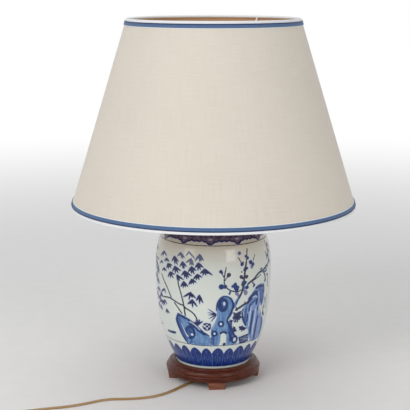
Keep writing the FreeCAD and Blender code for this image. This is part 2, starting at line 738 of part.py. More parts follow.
def white_tape(label, edge_r, edge, reach, wire_z, up):
    """Tape folded over the shade's edge and the wire in it."""
    far = f"({edge}) + {up} * tape_width"
    skin_edge = f"({edge}) - {up} * 0.02"
    inside = "ring_wire + 0.05"
    outside = "ring_wire + 0.05 + tape"
    turned(label, [
        (f"{wall_r(far)} + 0.02", far),
        (f"{wall_r(far)} + tape", far),
        (f"{edge_r} + tape", edge),
        (f"{edge_r} - 0.3", f"({edge}) - {up} * (tape + 0.2)"),
        (reach, f"({wire_z}) - {up} * ({outside})"),
        (f"{reach} - ({outside})", wire_z, f"{-up} * ({outside})"),
        (f"{reach} - ({inside})", wire_z),
        (reach, f"({wire_z}) - {up} * ({inside})", f"{up} * ({inside})"),
        (f"{edge_r} - fabric - lining", skin_edge),
        (f"{edge_r} + 0.02", skin_edge),
    ])


def blue_braid(label, edge, up):
    """Flat blue braid stitched on the white tape, thicker along its middle."""
    near = f"({edge}) + {up} * braid_start"
    middle = f"({edge}) + {up} * (braid_start + braid_width / 2)"
    far = f"({edge}) + {up} * (braid_start + braid_width)"
    turned(label, [
        (f"{wall_r(near)} + tape + 0.02", near),
        (f"{wall_r(near)} + tape + braid * 0.6", near),
        (f"{wall_r(middle)} + tape + braid", middle),
        (f"{wall_r(far)} + tape + braid * 0.6", far),
        (f"{wall_r(far)} + tape + 0.02", far)])


def fitter():
    """Centre ring with three bent arms that are welded to it and to the top ring."""
    ring("shade_centre_ring", "fitter_r", "27", "fitter_z", "fitter_z + 2")
    low_z = "fitter_z + 1"
    top_z = f"({TOP_WIRE_Z} - 1.15)"
    reach = f"({wire_r(TOP_WIRE_Z)} - 0.95)"
    for number in range(3):
        label = f"shade_arm_{number + 1}"
        body = doc.addObject("PartDesign::Body", label)
        path = sketch_on(body, label + "_path", "XZ_Plane")
        shoulder = "34"
        draw(path, [("26.4", low_z), (shoulder, low_z), (f"{shoulder} + 4.4", f"{low_z} + 3.2",
                                                         "6.1"),
                    (f"{reach} - 9", f"{top_z} - 11"),
                    (f"{reach} - 4.6", f"{top_z} - 6", "-24"), (reach, top_z)], closed=False)
        section = sketch_on(body, label + "_section", "YZ_Plane", "26.4")
        draw_circle(section, "0", low_z, "arm_wire")
        pipe = body.newObject("PartDesign::AdditivePipe", label + "_pipe")
        pipe.Profile = section
        pipe.Spine = (path, [])
        body.Tip = pipe
        body.Placement = Placement(
            Vector(), Rotation(Vector(0, 0, 1), size("arm_azimuth") + 120 * number))
        kept(body, label)


# ---------------------------------------------------------------- lead, coil and plug

def swept(wire, radius):
    """A round tube along a wire of lines and arcs."""
    start = wire.Edges[0]
    place = start.valueAt(start.FirstParameter)
    along = start.tangentAt(start.FirstParameter)
    circle = Part.Wire(Part.Circle(place, along, radius).toShape())
    return wire.makePipeShell([circle], True, False)


def bent_edges(points, report=False):
    """Straight runs joined by tangent arcs, each as large as its two runs allow."""
    edges = []
    radii = []
    start = points[0]
    for before, corner, after in zip(points, points[1:], points[2:]):
        back = (before - corner).normalize()
        ahead = (after - corner).normalize()
        half_turn = (math.pi - back.getAngle(ahead)) / 2
        cut = 0.45 * min((before - corner).Length, (after - corner).Length)
        radii.append(cut / math.tan(half_turn))
        enter = corner + back * cut
        leave = corner + ahead * cut
        inward = (back + ahead).normalize()
        middle = corner + inward * (radii[-1] / math.cos(half_turn) - radii[-1])
        edges.append(Part.LineSegment(start, enter).toShape())
        edges.append(Part.Arc(enter, middle, leave).toShape())
        start = leave
    edges.append(Part.LineSegment(start, points[-1]).toShape())
    if report:
        print("bend radii, mm:", [round(radius) for radius in radii])
    return edges


def tube(points, radius, report=False):
    return swept(Part.Wire(bent_edges(points, report)), radius)


def half_turns(count, coil_middle, first_angle):
    """Half circles that spiral in on the lower layer, climb, and spiral out on the upper one."""
    outer = size("coil_r")
    inner = size("coil_inner_r")
    step = (outer - inner) / count
    low = size("lead_width / 2 + coil_lift")
    high = low + size("coil_rise")
    radii = [outer - step * k for k in range(count + 1)]
    radii += [inner + step * k for k in range(count + 1)]
    heights = [low] * (count + 1) + [high] * (count + 1)
    places = []
    for k, (radius, height) in enumerate(zip(radii, heights)):
        angle = first_angle + math.pi * k
        spoke = Vector(math.cos(angle), math.sin(angle), 0)
        places.append(coil_middle + spoke * radius + Vector(0, 0, height))
    edges = []
    for k, (here, there) in enumerate(zip(places, places[1:])):
        angle = first_angle + math.pi * k
        along = Vector(-math.sin(angle), math.cos(angle), 0)
        centre = (here + there) / 2
        radius = (there - here).Length / 2
        crown = centre + along * radius
        for first, last in ((here, crown), (crown, there)):
            bow = ((first - centre) + (last - centre)).normalize() * radius
            edges.append(Part.Arc(first, centre + bow, last).toShape())
    return edges, places


def least_gap(wire, diameter):
    """Smallest clear distance between turns, from points along the wire."""
    step = 1.5
    points = wire.discretize(Distance=step)
    apart = int(2.5 * diameter / step)
    gap = min((first - last).Length
              for k, first in enumerate(points) for last in points[k + apart:])
    return gap - diameter


def lead():
    width = size("lead_width")
    radius = width / 2
    heading = math.radians(size("lead_heading"))
    along = Vector(math.cos(heading), math.sin(heading), 0)
    middle = Vector(size("coil_x"), size("coil_y"), 0)
    count = int(2 * size("coil_turns"))
    turns, places = half_turns(count, middle, heading - math.pi / 2)
    meeting = places[0] - along * (width + 0.4)
    route = [Vector(*point) for point in LEAD_ROUTE] + [meeting]
    stretch = tube(route, radius, report=True)
    path = Part.Wire(bent_edges(route))
    expected = math.pi * radius ** 2 * path.Length
    print("stretch: length", round(path.Length), "volume / section x length",
          round(stretch.Volume / expected, 4))
    feature("lead_stretch", stretch)

    # the coil's end runs off the upper layer, down to the plug's height and into the plug
    drop = places[-1].z - size("plug_height / 2")
    away = -along
    end = places[-1]
    tail = [end, end + away * 11, end + away * 31 - Vector(0, 0, drop),
            end + away * 40 - Vector(0, 0, drop)]
    lead_in = Part.LineSegment(meeting, places[0]).toShape()
    coil_path = Part.Wire([lead_in] + turns + bent_edges(tail))
    coil = swept(coil_path, radius)
    print("coil: length", round(coil_path.Length), "volume / section x length",
          round(coil.Volume / (math.pi * radius ** 2 * coil_path.Length), 4),
          "least gap", round(least_gap(coil_path, width), 2))
    print("whole lead:", round(path.Length + coil_path.Length), "mm")
    feature("lead_coil", coil)
    coil_tie(middle, heading, places)
    plug(tail[-1], heading + math.pi)


def coil_tie(middle, heading, places):
    """Band round the bundle of turns, a rounded loop that stands across them."""
    radius = size("lead_width") / 2
    angle = heading - math.pi / 2 + math.radians(118)
    spoke = Vector(math.cos(angle), math.sin(angle), 0)
    inner = size("coil_inner_r") - radius - 0.5
    outer = size("coil_r") + radius + 0.5
    top = places[-1].z + radius + 0.15
    loops = []
    for swell in (0, 0.75):
        corner = 3 + swell
        low = 0.8 - swell
        high = top + swell
        wire = Part.makePlane(outer - inner + 2 * swell, high - low).translated(
            Vector(inner - swell, low, 0)).OuterWire
        loops.append(Part.Face(rounded(wire, corner)))
    band = loops[1].cut(loops[0]).extrude(Vector(0, 0, 5))
    band.Placement = Placement(middle - Vector(-spoke.y, spoke.x, 0) * 2.5 * -1,
                               Rotation(Vector(0, 0, 1), math.degrees(angle)) * Rotation(
                                   Vector(1, 0, 0), 90))
    feature("coil_tie", band)


def rounded(wire, radius):
    """A flat rectangle's wire with its corners rounded."""
    box = wire.BoundBox
    x0, x1, y0, y1 = box.XMin, box.XMax, box.YMin, box.YMax
    slant = radius * (1 - math.sqrt(0.5))
    edges = []
    sides = [((x0 + radius, y0), (x1 - radius, y0), (x1 - slant, y0 + slant), (x1, y0 + radius)),
             ((x1, y0 + radius), (x1, y1 - radius), (x1 - slant, y1 - slant), (x1 - radius, y1)),
             ((x1 - radius, y1), (x0 + radius, y1), (x0 + slant, y1 - slant), (x0, y1 - radius)),
             ((x0, y1 - radius), (x0, y0 + radius), (x0 + slant, y0 + slant), (x0 + radius, y0))]
    for start, end, middle, after in sides:
        start, end, middle, after = [Vector(*point, 0) for point in (start, end, middle, after)]
        edges.append(Part.LineSegment(start, end).toShape())
        edges.append(Part.Arc(end, middle, after).toShape())
    return Part.Wire(edges)


def plug(entry, heading):
    """Flat two-pin plug with its tapered sleeve, lying beside the coil."""
    place = Placement(entry, Rotation(Vector(0, 0, 1), math.degrees(heading)))
    sections = []
    for along, width, height, corner in ((0, 9.6, 8.4, 4), (22, 6.8, 6.8, 3.3)):
        sections.append(plug_section(22 - along, height, width, corner))
    bore = Part.makeCylinder(size("lead_width / 2 + 0.1"), 22, Vector(), Vector(1, 0, 0))
    sleeve = Part.makeLoft(sections, True, True).cut(bore)
    sleeve.Placement = place
    feature("plug_strain_relief", sleeve)

    width, height = size("plug_width"), size("plug_height")
    length = size("plug_length")
    stations = ((22, 10.4, 9.2, 4.4), (28, 17, 11.6, 5.2), (22 + length * 0.6, 30, height, 6),
                (22 + length, width, height, 6.3))
    body = Part.makeLoft([plug_section(along, high, wide, corner)
                          for along, wide, high, corner in stations], True, True)
    body.Placement = place
    feature("plug_body", body)
    for number, side in enumerate((-1, 1), start=1):
        base = Vector(22 + length, side * size("pin_pitch") / 2, 0)
        radius = size("pin_r")
        pin_length = size("pin_length")
        pin = Part.makeCylinder(radius, pin_length - radius, base, Vector(1, 0, 0))
        pin = pin.fuse(Part.makeSphere(radius, base + Vector(pin_length - radius, 0, 0)).common(
            Part.makeBox(2 * radius, 2 * radius, 2 * radius,
                         base + Vector(pin_length - radius, -radius, -radius))))
        pin = pin.removeSplitter()
        pin.Placement = place
        feature(f"plug_pin_{number}", pin)


def plug_section(along, height, width, corner):
    """Rounded rectangle square to the plug's length."""
    flat = Part.makePlane(width, height).translated(Vector(-width / 2, -height / 2, 0)).OuterWire
    wire = rounded(flat, min(corner, width / 2 - 0.2, height / 2 - 0.2))
    wire.Placement = Placement(Vector(along, 0, 0),
                               Rotation(Vector(0, 1, 0), Vector(0, 0, 1), Vector(1, 0, 0), "XYZ"))
    return wire


def inner_flex():
    """The twin lead inside the rod and lampholder, split to the two terminals."""
    core = size("lead_width") / 4 - 0.02
    low, split = size("rod_bottom"), size("rod_top") + 1
    cores = []
    for side in (-1, 1):
        start = Vector(0, side * core, low)
        points = [start, Vector(0, side * core, split), Vector(-5, side * 3.4, split + 8),
                  Vector(-7, side * 8, split + 14.6)]
        cores.append(tube(points, core))
    twin = cores[0].fuse(cores[1])
    web = Part.makeBox(1, core * 2, split - low - 1, Vector(-0.5, -core, low))
    feature("inner_flex", twin.fuse(web))


wooden_stand()
for side, name in enumerate(("front", "right", "back", "left")):
    stand_foot(f"stand_foot_{name}", size("foot_azimuth") + 90 * side)
jar_body()
clamp_stack()
lampholder()
switch_knob()
lamp()
shade()
inner_flex()
lead()

doc.recompute()
failed = [item.Name for item in doc.Objects if {"Invalid", "Error"} & set(item.State)]
assert not failed, f"failed objects: {failed}"
bad = [node.Label for node in NODES if node.Shape.isNull() or not node.Shape.isValid()]
assert not bad, f"bad shapes: {bad}"
os.makedirs("parts", exist_ok=True)
for node in NODES:
    node.Shape.exportStep(f"parts/{node.Label}.step")
print(len(NODES), "sub-parts written")
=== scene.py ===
# Looks for the ginger jar lamp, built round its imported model: painted glaze, polished wood,
# brass, the laminated shade with its tape and braid, the bulb and the twin lead. Metres, the
# lamp's axis at X = Y = 0, the photographed front at -Y.

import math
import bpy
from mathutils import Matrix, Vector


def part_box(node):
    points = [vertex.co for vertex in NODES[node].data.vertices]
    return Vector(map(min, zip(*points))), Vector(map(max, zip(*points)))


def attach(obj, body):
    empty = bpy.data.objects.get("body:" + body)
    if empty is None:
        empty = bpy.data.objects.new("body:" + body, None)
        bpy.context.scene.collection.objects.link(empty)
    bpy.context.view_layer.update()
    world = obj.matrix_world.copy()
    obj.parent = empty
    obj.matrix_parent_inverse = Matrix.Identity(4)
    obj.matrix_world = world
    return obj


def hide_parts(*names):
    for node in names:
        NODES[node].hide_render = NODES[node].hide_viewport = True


bl_info = {
    "name": "Ginger jar lamp",
    "version": (1, 0, 0),
    "blender": (4, 5, 0),
    "location": "View3D > Sidebar > Lamp",
    "description": "Finishes and soft pieces of a blue-and-white ginger jar lamp",
    "category": "Object",
}

import bmesh
import bpy
import numpy as np
from bpy.props import FloatProperty, FloatVectorProperty, IntProperty, PointerProperty
from mathutils import Vector

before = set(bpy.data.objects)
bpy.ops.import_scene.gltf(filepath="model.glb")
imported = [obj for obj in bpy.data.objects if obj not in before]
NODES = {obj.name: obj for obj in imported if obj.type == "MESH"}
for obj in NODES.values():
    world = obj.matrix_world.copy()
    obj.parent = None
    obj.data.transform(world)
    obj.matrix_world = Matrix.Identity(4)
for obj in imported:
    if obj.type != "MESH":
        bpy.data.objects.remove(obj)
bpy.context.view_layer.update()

# Heights of the shade's two edges and their outer radii, from the box of its fabric in the frame.
# Its top is 270 mm across where its foot is 450 mm.
SHADE_TAPER = 0.6
SHADE_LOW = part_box("shade_fabric")[0][2]
SHADE_LOW_R, _, SHADE_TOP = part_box("shade_fabric")[1]
SHADE_TOP_R = SHADE_LOW_R * SHADE_TAPER


# ---------------------------------------------------------------- colours and nodes

def linear(code):
    """Linear RGBA of an sRGB hex value."""
    parts = [int(code[k:k + 2], 16) / 255 for k in (1, 3, 5)]
    return tuple(c / 12.92 if c <= 0.04045 else ((c + 0.055) / 1.055) ** 2.4
                 for c in parts) + (1.0,)


def add(tree, kind, inputs=None, **settings):
    """Adds a node with its settings; inputs maps a socket to a value or to another socket."""
    made = tree.nodes.new(kind)
    for name, value in settings.items():
        setattr(made, name, value)
    for key, value in (inputs or {}).items():
        socket = made.inputs[key]
        if isinstance(value, bpy.types.NodeSocket):
            tree.links.new(value, socket)
        else:
            socket.default_value = value
    return made


def finish(name, **sockets):
    """A new material: (material, tree, shader), with the shader's own sockets set."""
    material = bpy.data.materials.new(name)
    material.use_nodes = True
    shader = material.node_tree.nodes["Principled BSDF"]
    for socket, value in sockets.items():
        shader.inputs[socket.replace("_", " ")].default_value = value
    return material, material.node_tree, shader


def dress(node, material):
    """Gives a CAD node's own object a finish."""
    for slot in NODES[node].material_slots:
        slot.material = material


def place_piece(name, mesh, material, body, replaced=(), smooth=True):
    """Puts a finished mesh at the origin, on its body."""
    piece = bpy.data.objects.new(name, mesh)
    bpy.context.scene.collection.objects.link(piece)
    mesh.materials.append(material)
    if smooth:
        mesh.shade_smooth()
    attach(piece, body)
    if replaced:
        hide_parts(*replaced)
    return piece


def mesh_of(name, points, faces):
    """A mesh of points and faces."""
    mesh = bpy.data.meshes.new(name)
    mesh.from_pydata([tuple(p) for p in points], [], faces)
    mesh.validate()
    return mesh


def outwards(mesh):
    """Merges doubles and turns the faces outwards."""
    shape = bmesh.new()
    shape.from_mesh(mesh)
    bmesh.ops.remove_doubles(shape, verts=shape.verts, dist=1e-6)
    bmesh.ops.recalc_face_normals(shape, faces=shape.faces)
    shape.to_mesh(mesh)
    shape.free()
    return mesh


# ---------------------------------------------------------------- sizes and colours to change

class LampSizes(bpy.types.PropertyGroup):
    lead_width: FloatProperty(
        name="Lead width", description="Across both cores of the flat twin lead",
        default=0.0056, min=0.003, max=0.009, unit="LENGTH")
    lead_thickness: FloatProperty(
        name="Lead thickness", description="Of the flat twin lead", default=0.0029,
        min=0.0015, max=0.005, unit="LENGTH")
    thread_spacing: FloatProperty(
        name="Shade thread spacing", description="Between the threads of the shade's fabric",
        default=0.0011, min=0.0003, max=0.003, unit="LENGTH")
    jar_columns: IntProperty(
        name="Jar columns", description="Finest columns of the painted jar, a multiple of 8",
        default=960, min=96, max=1200)
    braid_pitch: FloatProperty(
        name="Braid pitch", description="Between the stitches of the blue braid",
        default=0.0034, min=0.001, max=0.01, unit="LENGTH")
    braid_stitch: FloatProperty(
        name="Braid stitch", description="Thickness of one stitch of the braid",
        default=0.00062, min=0.0002, max=0.002, unit="LENGTH")


def swatch(name, about, code):
    """A colour that can be changed in the panel."""
    return FloatVectorProperty(name=name, description=about, subtype="COLOR", size=4, min=0, max=1,
                               default=linear(code))


class LampColours(bpy.types.PropertyGroup):
    fabric: swatch("Shade fabric", "Outside of the shade", "#DDD5C9")
    lining: swatch("Shade lining", "Inside of the shade", "#DAB28B")
    glaze: swatch("Glaze", "Bare glaze of the jar", "#D2DBD8")
    cobalt: swatch("Cobalt", "Petals at the jar's foot", "#0E2565")
    navy: swatch("Navy line", "Bamboo and thin brush lines", "#131A42")
    wood: swatch("Stand", "Polished wood of the stand", "#4A1A0D")
    navy_braid: swatch("Navy stripe", "Dark stripe of the braid", "#172C5E")
    blue_braid: swatch("Blue stripe", "Light stripe of the braid", "#5878A0")


def sizes():
    return bpy.context.scene.lamp_sizes


def colours():
    return bpy.context.scene.lamp_colours


# ---------------------------------------------------------------- stage

CAMERA_PLACE = (0.0, -1.78007, 0.63898)
CAMERA_FALL = 0.1970
CAMERA_TURN = 0.00747
CAMERA_LENS = 99.88
CAMERA_SENSOR = 36
FLOOR_RADIUS = 9


def backdrop_share(tree):
    """1 for a ray that sees the backdrop straight, through glass or in gloss, otherwise 0."""
    rays = add(tree, "ShaderNodeLightPath").outputs
    seen = add(tree, "ShaderNodeMath", {0: rays["Is Camera Ray"], 1: rays["Is Transmission Ray"]},
               operation="MAXIMUM")
    return add(tree, "ShaderNodeMath", {0: seen.outputs[0], 1: rays["Is Glossy Ray"]},
               operation="MAXIMUM").outputs[0]


class LAMP_OT_stage(bpy.types.Operator):
    """Camera, pale floor and soft studio light"""
    bl_idname = "lamp.stage"
    bl_label = "Stage"

    def execute(self, context):
        scene = context.scene
        scene.view_settings.view_transform = "Standard"
        lens = bpy.data.cameras.new("camera")
        lens.lens = CAMERA_LENS
        lens.sensor_width = CAMERA_SENSOR
        camera = bpy.data.objects.new("camera", lens)
        camera.location = CAMERA_PLACE
        camera.rotation_euler = (math.pi / 2 - CAMERA_FALL, 0, CAMERA_TURN)
        scene.collection.objects.link(camera)
        scene.camera = camera

        floor_mesh = bpy.data.meshes.new("floor")
        shape = bmesh.new()
        bmesh.ops.create_circle(shape, cap_ends=True, radius=FLOOR_RADIUS, segments=96)
        shape.to_mesh(floor_mesh)
        shape.free()
        floor_mesh.materials.append(paper_floor())
        floor = bpy.data.objects.new("floor", floor_mesh)
        scene.collection.objects.link(floor)

        world = bpy.data.worlds.new("studio")
        scene.world = world
        world.use_nodes = True
        tree = world.node_tree
        tree.nodes.clear()
        fill = add(tree, "ShaderNodeBackground", {"Color": linear("#F2F4F7"), "Strength": 0.55})
        white = add(tree, "ShaderNodeBackground", {"Color": linear("#FFFFFF"), "Strength": 1.0})
        both = add(tree, "ShaderNodeMixShader", {0: backdrop_share(tree), 1: fill.outputs[0],
                                                 2: white.outputs[0]})
        add(tree, "ShaderNodeOutputWorld", {"Surface": both.outputs[0]})

        for name, place, aim, size, power, colour in (
                ("window", (1.38, -1.97, 0.72), (0, 0, 0.25), 0.8, 9, "#FFFDF8"),
                ("room", (-1.84, -1.6, 0.85), (0, 0, 0.3), 0.9, 8, "#FFFBF6"),
                ("front", (-1.2, -2.1, 2.0), (0, 0, 0.3), 1.2, 22, "#FDFDFF"),
                ("ceiling", (0.0, 0.6, 2.4), (0, 0, 0.3), 1.8, 10, "#FFFFFF")):
            lamp = bpy.data.lights.new(name, "AREA")
            lamp.size = size
            lamp.energy = power
            lamp.color = linear(colour)[:3]
            light = bpy.data.objects.new(name, lamp)
            light.location = place
            light.rotation_euler = (Vector(aim) - Vector(place)).to_track_quat(
                "-Z", "Y").to_euler()
            scene.collection.objects.link(light)
        return {"FINISHED"}


def paper_floor():
    # Seamless studio paper: matt, pale, with a faint mottle some 30 mm across. Behind the lamp it
    # fades to the backdrop's white.
    material, tree, shader = finish("seamless_paper_matt", Roughness=0.9, Specular_IOR_Level=0.15)
    where = add(tree, "ShaderNodeTexCoord").outputs["Object"]
    mottle = add(tree, "ShaderNodeTexNoise", {"Vector": where, "Scale": 35.0, "Detail": 4.0})
    tone = add(tree, "ShaderNodeMix", {0: mottle.outputs[0], 6: linear("#E9E8E6"),
                                       7: linear("#EFEEEC")}, data_type="RGBA")
    tree.links.new(tone.outputs[2], shader.inputs["Base Color"])
    far = add(tree, "ShaderNodeVectorMath", {0: where}, operation="LENGTH")
    fade = add(tree, "ShaderNodeMapRange", {0: far.outputs[1], 1: 0.6, 2: 3.0},
               interpolation_type="SMOOTHSTEP")
    share = add(tree, "ShaderNodeMath", {0: fade.outputs[0], 1: backdrop_share(tree)},
                operation="MULTIPLY")
    white = add(tree, "ShaderNodeEmission", {"Color": linear("#FFFFFF"), "Strength": 1.0})
    both = add(tree, "ShaderNodeMixShader", {0: share.outputs[0], 1: shader.outputs[0],
                                             2: white.outputs[0]})
    tree.links.new(both.outputs[0], tree.nodes["Material Output"].inputs["Surface"])
    return material


# ---------------------------------------------------------------- twin lead and plug

# Points of the lead's route, as in the part's source, lying flat on the table: metres.
LEAD_ROUTE = [
    (0.0, 0.0, 0.018), (0.0, 0.0, 0.009), (-0.0036, -0.0044, 0.0032),
    (-0.0125, -0.0152, 0.0016), (-0.026, -0.031, 0.0015), (-0.044, -0.0535, 0.0015),
    (-0.070, -0.090, 0.0015), (-0.098, -0.1105, 0.0015), (-0.130, -0.1172, 0.0015),
    (-0.164, -0.1175, 0.0015), (-0.196, -0.138, 0.0015), (-0.222, -0.1505, 0.0015),
    (-0.252, -0.158, 0.0015), (-0.284, -0.170, 0.0016), (-0.3214, -0.1811, 0.0022),
]
COIL_MIDDLE = Vector((-0.338, -0.236, 0))
COIL_HEADING = math.radians(-158)
COIL_OUTER, COIL_INNER, HALF_TURNS, PER_HALF_TURN = 0.0447, 0.0225, 6, 8
COIL_LOW, COIL_HIGH, PLUG_Z = 0.00235, 0.00535, 0.00685


def coil_points():
    """Half circles that spiral in on the lower layer, climb, and spiral out on the upper one; then
    the tail that goes down to the plug."""
    step = (COIL_OUTER - COIL_INNER) / HALF_TURNS
    radii = [COIL_OUTER - step * k for k in range(HALF_TURNS + 1)]
    radii += [COIL_INNER + step * k for k in range(HALF_TURNS + 1)]
    heights = [COIL_LOW] * (HALF_TURNS + 1) + [COIL_HIGH] * (HALF_TURNS + 1)
    first = COIL_HEADING - math.pi / 2
    ends = []
    for k, (radius, height) in enumerate(zip(radii, heights)):
        angle = first + math.pi * k
        ends.append(COIL_MIDDLE + Vector((math.cos(angle) * radius, math.sin(angle) * radius,
                                          height)))
    ahead = Vector((math.cos(COIL_HEADING), math.sin(COIL_HEADING), 0))
    points = [ends[0] - ahead * 0.006]
    for k, (here, there) in enumerate(zip(ends, ends[1:])):
        centre = (here + there) / 2
        radius = (there - here).xy.length / 2
        for j in range(PER_HALF_TURN):
            share = j / PER_HALF_TURN
            angle = first + math.pi * (k + share)
            rise = (there.z - here.z) * (share - 0.5)
            points.append(centre + Vector((math.cos(angle) * radius, math.sin(angle) * radius,
                                           rise)))
    end = ends[-1]
    down = Vector((0, 0, PLUG_Z - COIL_HIGH))
    points += [end, end - ahead * 0.011, end - ahead * 0.031 + down, end - ahead * 0.040 + down]
    return points


def spline_line(name, points):
    """Even points along the NURBS curve of a route."""
    curve = bpy.data.curves.new(name, "CURVE")
    curve.dimensions = "3D"
    curve.resolution_u = 6
    spline = curve.splines.new("NURBS")
    spline.points.add(len(points) - 1)
    for point, (x, y, z) in zip(spline.points, points):
        point.co = (x, y, z, 1)
    spline.order_u = 3
    spline.use_endpoint_u = True
    holder = bpy.data.objects.new(name, curve)
    bpy.context.scene.collection.objects.link(holder)
    line = bpy.data.meshes.new_from_object(holder)
    path = [v.co.copy() for v in line.vertices]
    bpy.data.objects.remove(holder)
    bpy.data.curves.remove(curve)
    bpy.data.meshes.remove(line)
    return path


def twin_section(width, thickness, count=11):
    """Outline of two round cores side by side with a web between them: (across, up). Each core is
    round for 304 degrees, and the web joins them over the rest."""
    core = thickness / 2
    middle = width / 2 - core
    outline = []
    for side in (1, -1):
        for k in range(count):
            angle = math.radians(-152 + 304 * k / (count - 1))
            angle += 0 if side > 0 else math.pi
            outline.append((side * middle + core * math.cos(angle), core * math.sin(angle)))
    return outline


def swept_section(name, path, outline):
    """A closed mesh of an outline carried along a path, its width kept level. Where the path
    stands nearly upright, the width keeps the direction that it had. The UV map runs along the
    path in metres and round the outline from 0 to 1."""
    count = len(outline)
    aheads = [(path[min(k + 1, len(path) - 1)] - path[max(k - 1, 0)]).normalized()
              for k in range(len(path))]
    widths = []
    for ahead in aheads:
        across = Vector((0, 0, 1)).cross(ahead)
        widths.append(across.normalized() if across.length > 0.15 else None)
    known = next(w for w in widths if w is not None)
    points, faces, run = [], [], [0.0]
    for k, (centre, ahead) in enumerate(zip(path, aheads)):
        known = widths[k] or known
        across = (known - ahead * known.dot(ahead)).normalized()
        up = ahead.cross(across)
        for a, b in outline:
            points.append(centre + across * a + up * b)
        if k:
            run.append(run[-1] + (centre - path[k - 1]).length)
    for k in range(len(path) - 1):
        for j in range(count):
            a = k * count + j
            b = k * count + (j + 1) % count
            faces.append((a, b, b + count, a + count))
    faces.append(tuple(reversed(range(count))))
    faces.append(tuple(range((len(path) - 1) * count, len(path) * count)))
    mesh = mesh_of(name, points, faces)
    layer = mesh.uv_layers.new(name="along")
    for face in mesh.polygons:
        for corner in face.loop_indices:
            vertex = mesh.loops[corner].vertex_index
            ring, spot = divmod(vertex, count)
            if spot == 0 and len(face.vertices) == 4 and max(
                    mesh.loops[c].vertex_index % count for c in face.loop_indices) == count - 1:
                spot = count
            layer.data[corner].uv = (run[ring], spot / count)
    return mesh


def twin_vinyl():
    # Clear gold vinyl over twisted copper strands: glossy, a warm bronze, with strand lines that
    # slant round each core.
    material, tree, shader = finish("vinyl_gold_extruded", Roughness=0.24, IOR=1.53,
                                    Coat_Weight=0.5, Coat_Roughness=0.12)
    along = add(tree, "ShaderNodeUVMap", uv_map="along").outputs[0]
    # strand lines about 0.8 mm apart round the lead and 3 mm apart along it, coarser than the
    # real strands so that they show
    lay = add(tree, "ShaderNodeMapping", {"Vector": along, "Scale": (220.0, 14.0, 1.0)})
    strands = add(tree, "ShaderNodeTexWave", {"Vector": lay.outputs[0], "Scale": 1.0,
                                              "Distortion": 0.6, "Detail": 1.0},
                  bands_direction="DIAGONAL")
    mottle = add(tree, "ShaderNodeTexNoise", {"Vector": along, "Scale": 60.0, "Detail": 3.0})
    copper = add(tree, "ShaderNodeMix", {0: strands.outputs[1], 6: linear("#6B4A25"),
                                         7: linear("#B98D4E")}, data_type="RGBA")
    tone = add(tree, "ShaderNodeMix", {0: mottle.outputs[0], 6: copper.outputs[2],
                                       7: linear("#A48450")}, data_type="RGBA")
    tree.links.new(tone.outputs[2], shader.inputs["Base Color"])
    bump = add(tree, "ShaderNodeBump", {"Height": mottle.outputs[0], "Strength": 0.15,
                                        "Distance": 0.0004})
    tree.links.new(bump.outputs[0], shader.inputs["Normal"])
    return material


def moulded(name, dark, light, gloss, grain=900.0):
    # Moulded plastic or rubber, glazed ceramic or papered wire: an even colour, with a fine grain
    # that breaks the gloss. grain is the grains in a metre, about 1 mm each, coarser than real
    # ones so that they show.
    material, tree, shader = finish(name, Roughness=gloss, IOR=1.5)
    where = add(tree, "ShaderNodeTexCoord").outputs["Object"]
    fine = add(tree, "ShaderNodeTexNoise", {"Vector": where, "Scale": grain, "Detail": 3.0})
    broad = add(tree, "ShaderNodeTexNoise", {"Vector": where, "Scale": 60.0, "Detail": 2.0})
    tone = add(tree, "ShaderNodeMix", {0: broad.outputs[0], 6: linear(dark), 7: linear(light)},
               data_type="RGBA")
    tree.links.new(tone.outputs[2], shader.inputs["Base Color"])
    rough = add(tree, "ShaderNodeMapRange", {0: broad.outputs[0], 3: gloss - 0.05,
                                             4: gloss + 0.08})
    tree.links.new(rough.outputs[0], shader.inputs["Roughness"])
    bump = add(tree, "ShaderNodeBump", {"Height": fine.outputs[0], "Strength": 0.2,
                                        "Distance": 0.0002})
    tree.links.new(bump.outputs[0], shader.inputs["Normal"])
    return material


def turned_metal(name, dark, light, rough, lines=2600.0):
    # Turned and polished metal: fine lathe lines square to the axis and a soft stain in the
    # lacquer. lines is the lines in a metre, one in 0.4 mm, coarser than real ones so that they
    # show, and the stains are about 14 mm across.
    material, tree, shader = finish(name, Metallic=1.0, Roughness=rough)
    where = add(tree, "ShaderNodeTexCoord").outputs["Object"]
    flat = add(tree, "ShaderNodeMapping", {"Vector": where, "Scale": (30.0, 30.0, lines)})
    turning = add(tree, "ShaderNodeTexNoise", {"Vector": flat.outputs[0], "Scale": 1.0,
                                               "Detail": 2.0})
    stain = add(tree, "ShaderNodeTexNoise", {"Vector": where, "Scale": 70.0, "Detail": 5.0})
    tone = add(tree, "ShaderNodeMix", {0: stain.outputs[0], 6: linear(dark), 7: linear(light)},
               data_type="RGBA")
    tree.links.new(tone.outputs[2], shader.inputs["Base Color"])
    gloss = add(tree, "ShaderNodeMapRange", {0: turning.outputs[0], 3: rough - 0.06,
                                             4: rough + 0.1})
    tree.links.new(gloss.outputs[0], shader.inputs["Roughness"])
    bump = add(tree, "ShaderNodeBump", {"Height": turning.outputs[0], "Strength": 0.12,
                                        "Distance": 0.0001})
    tree.links.new(bump.outputs[0], shader.inputs["Normal"])
    return material


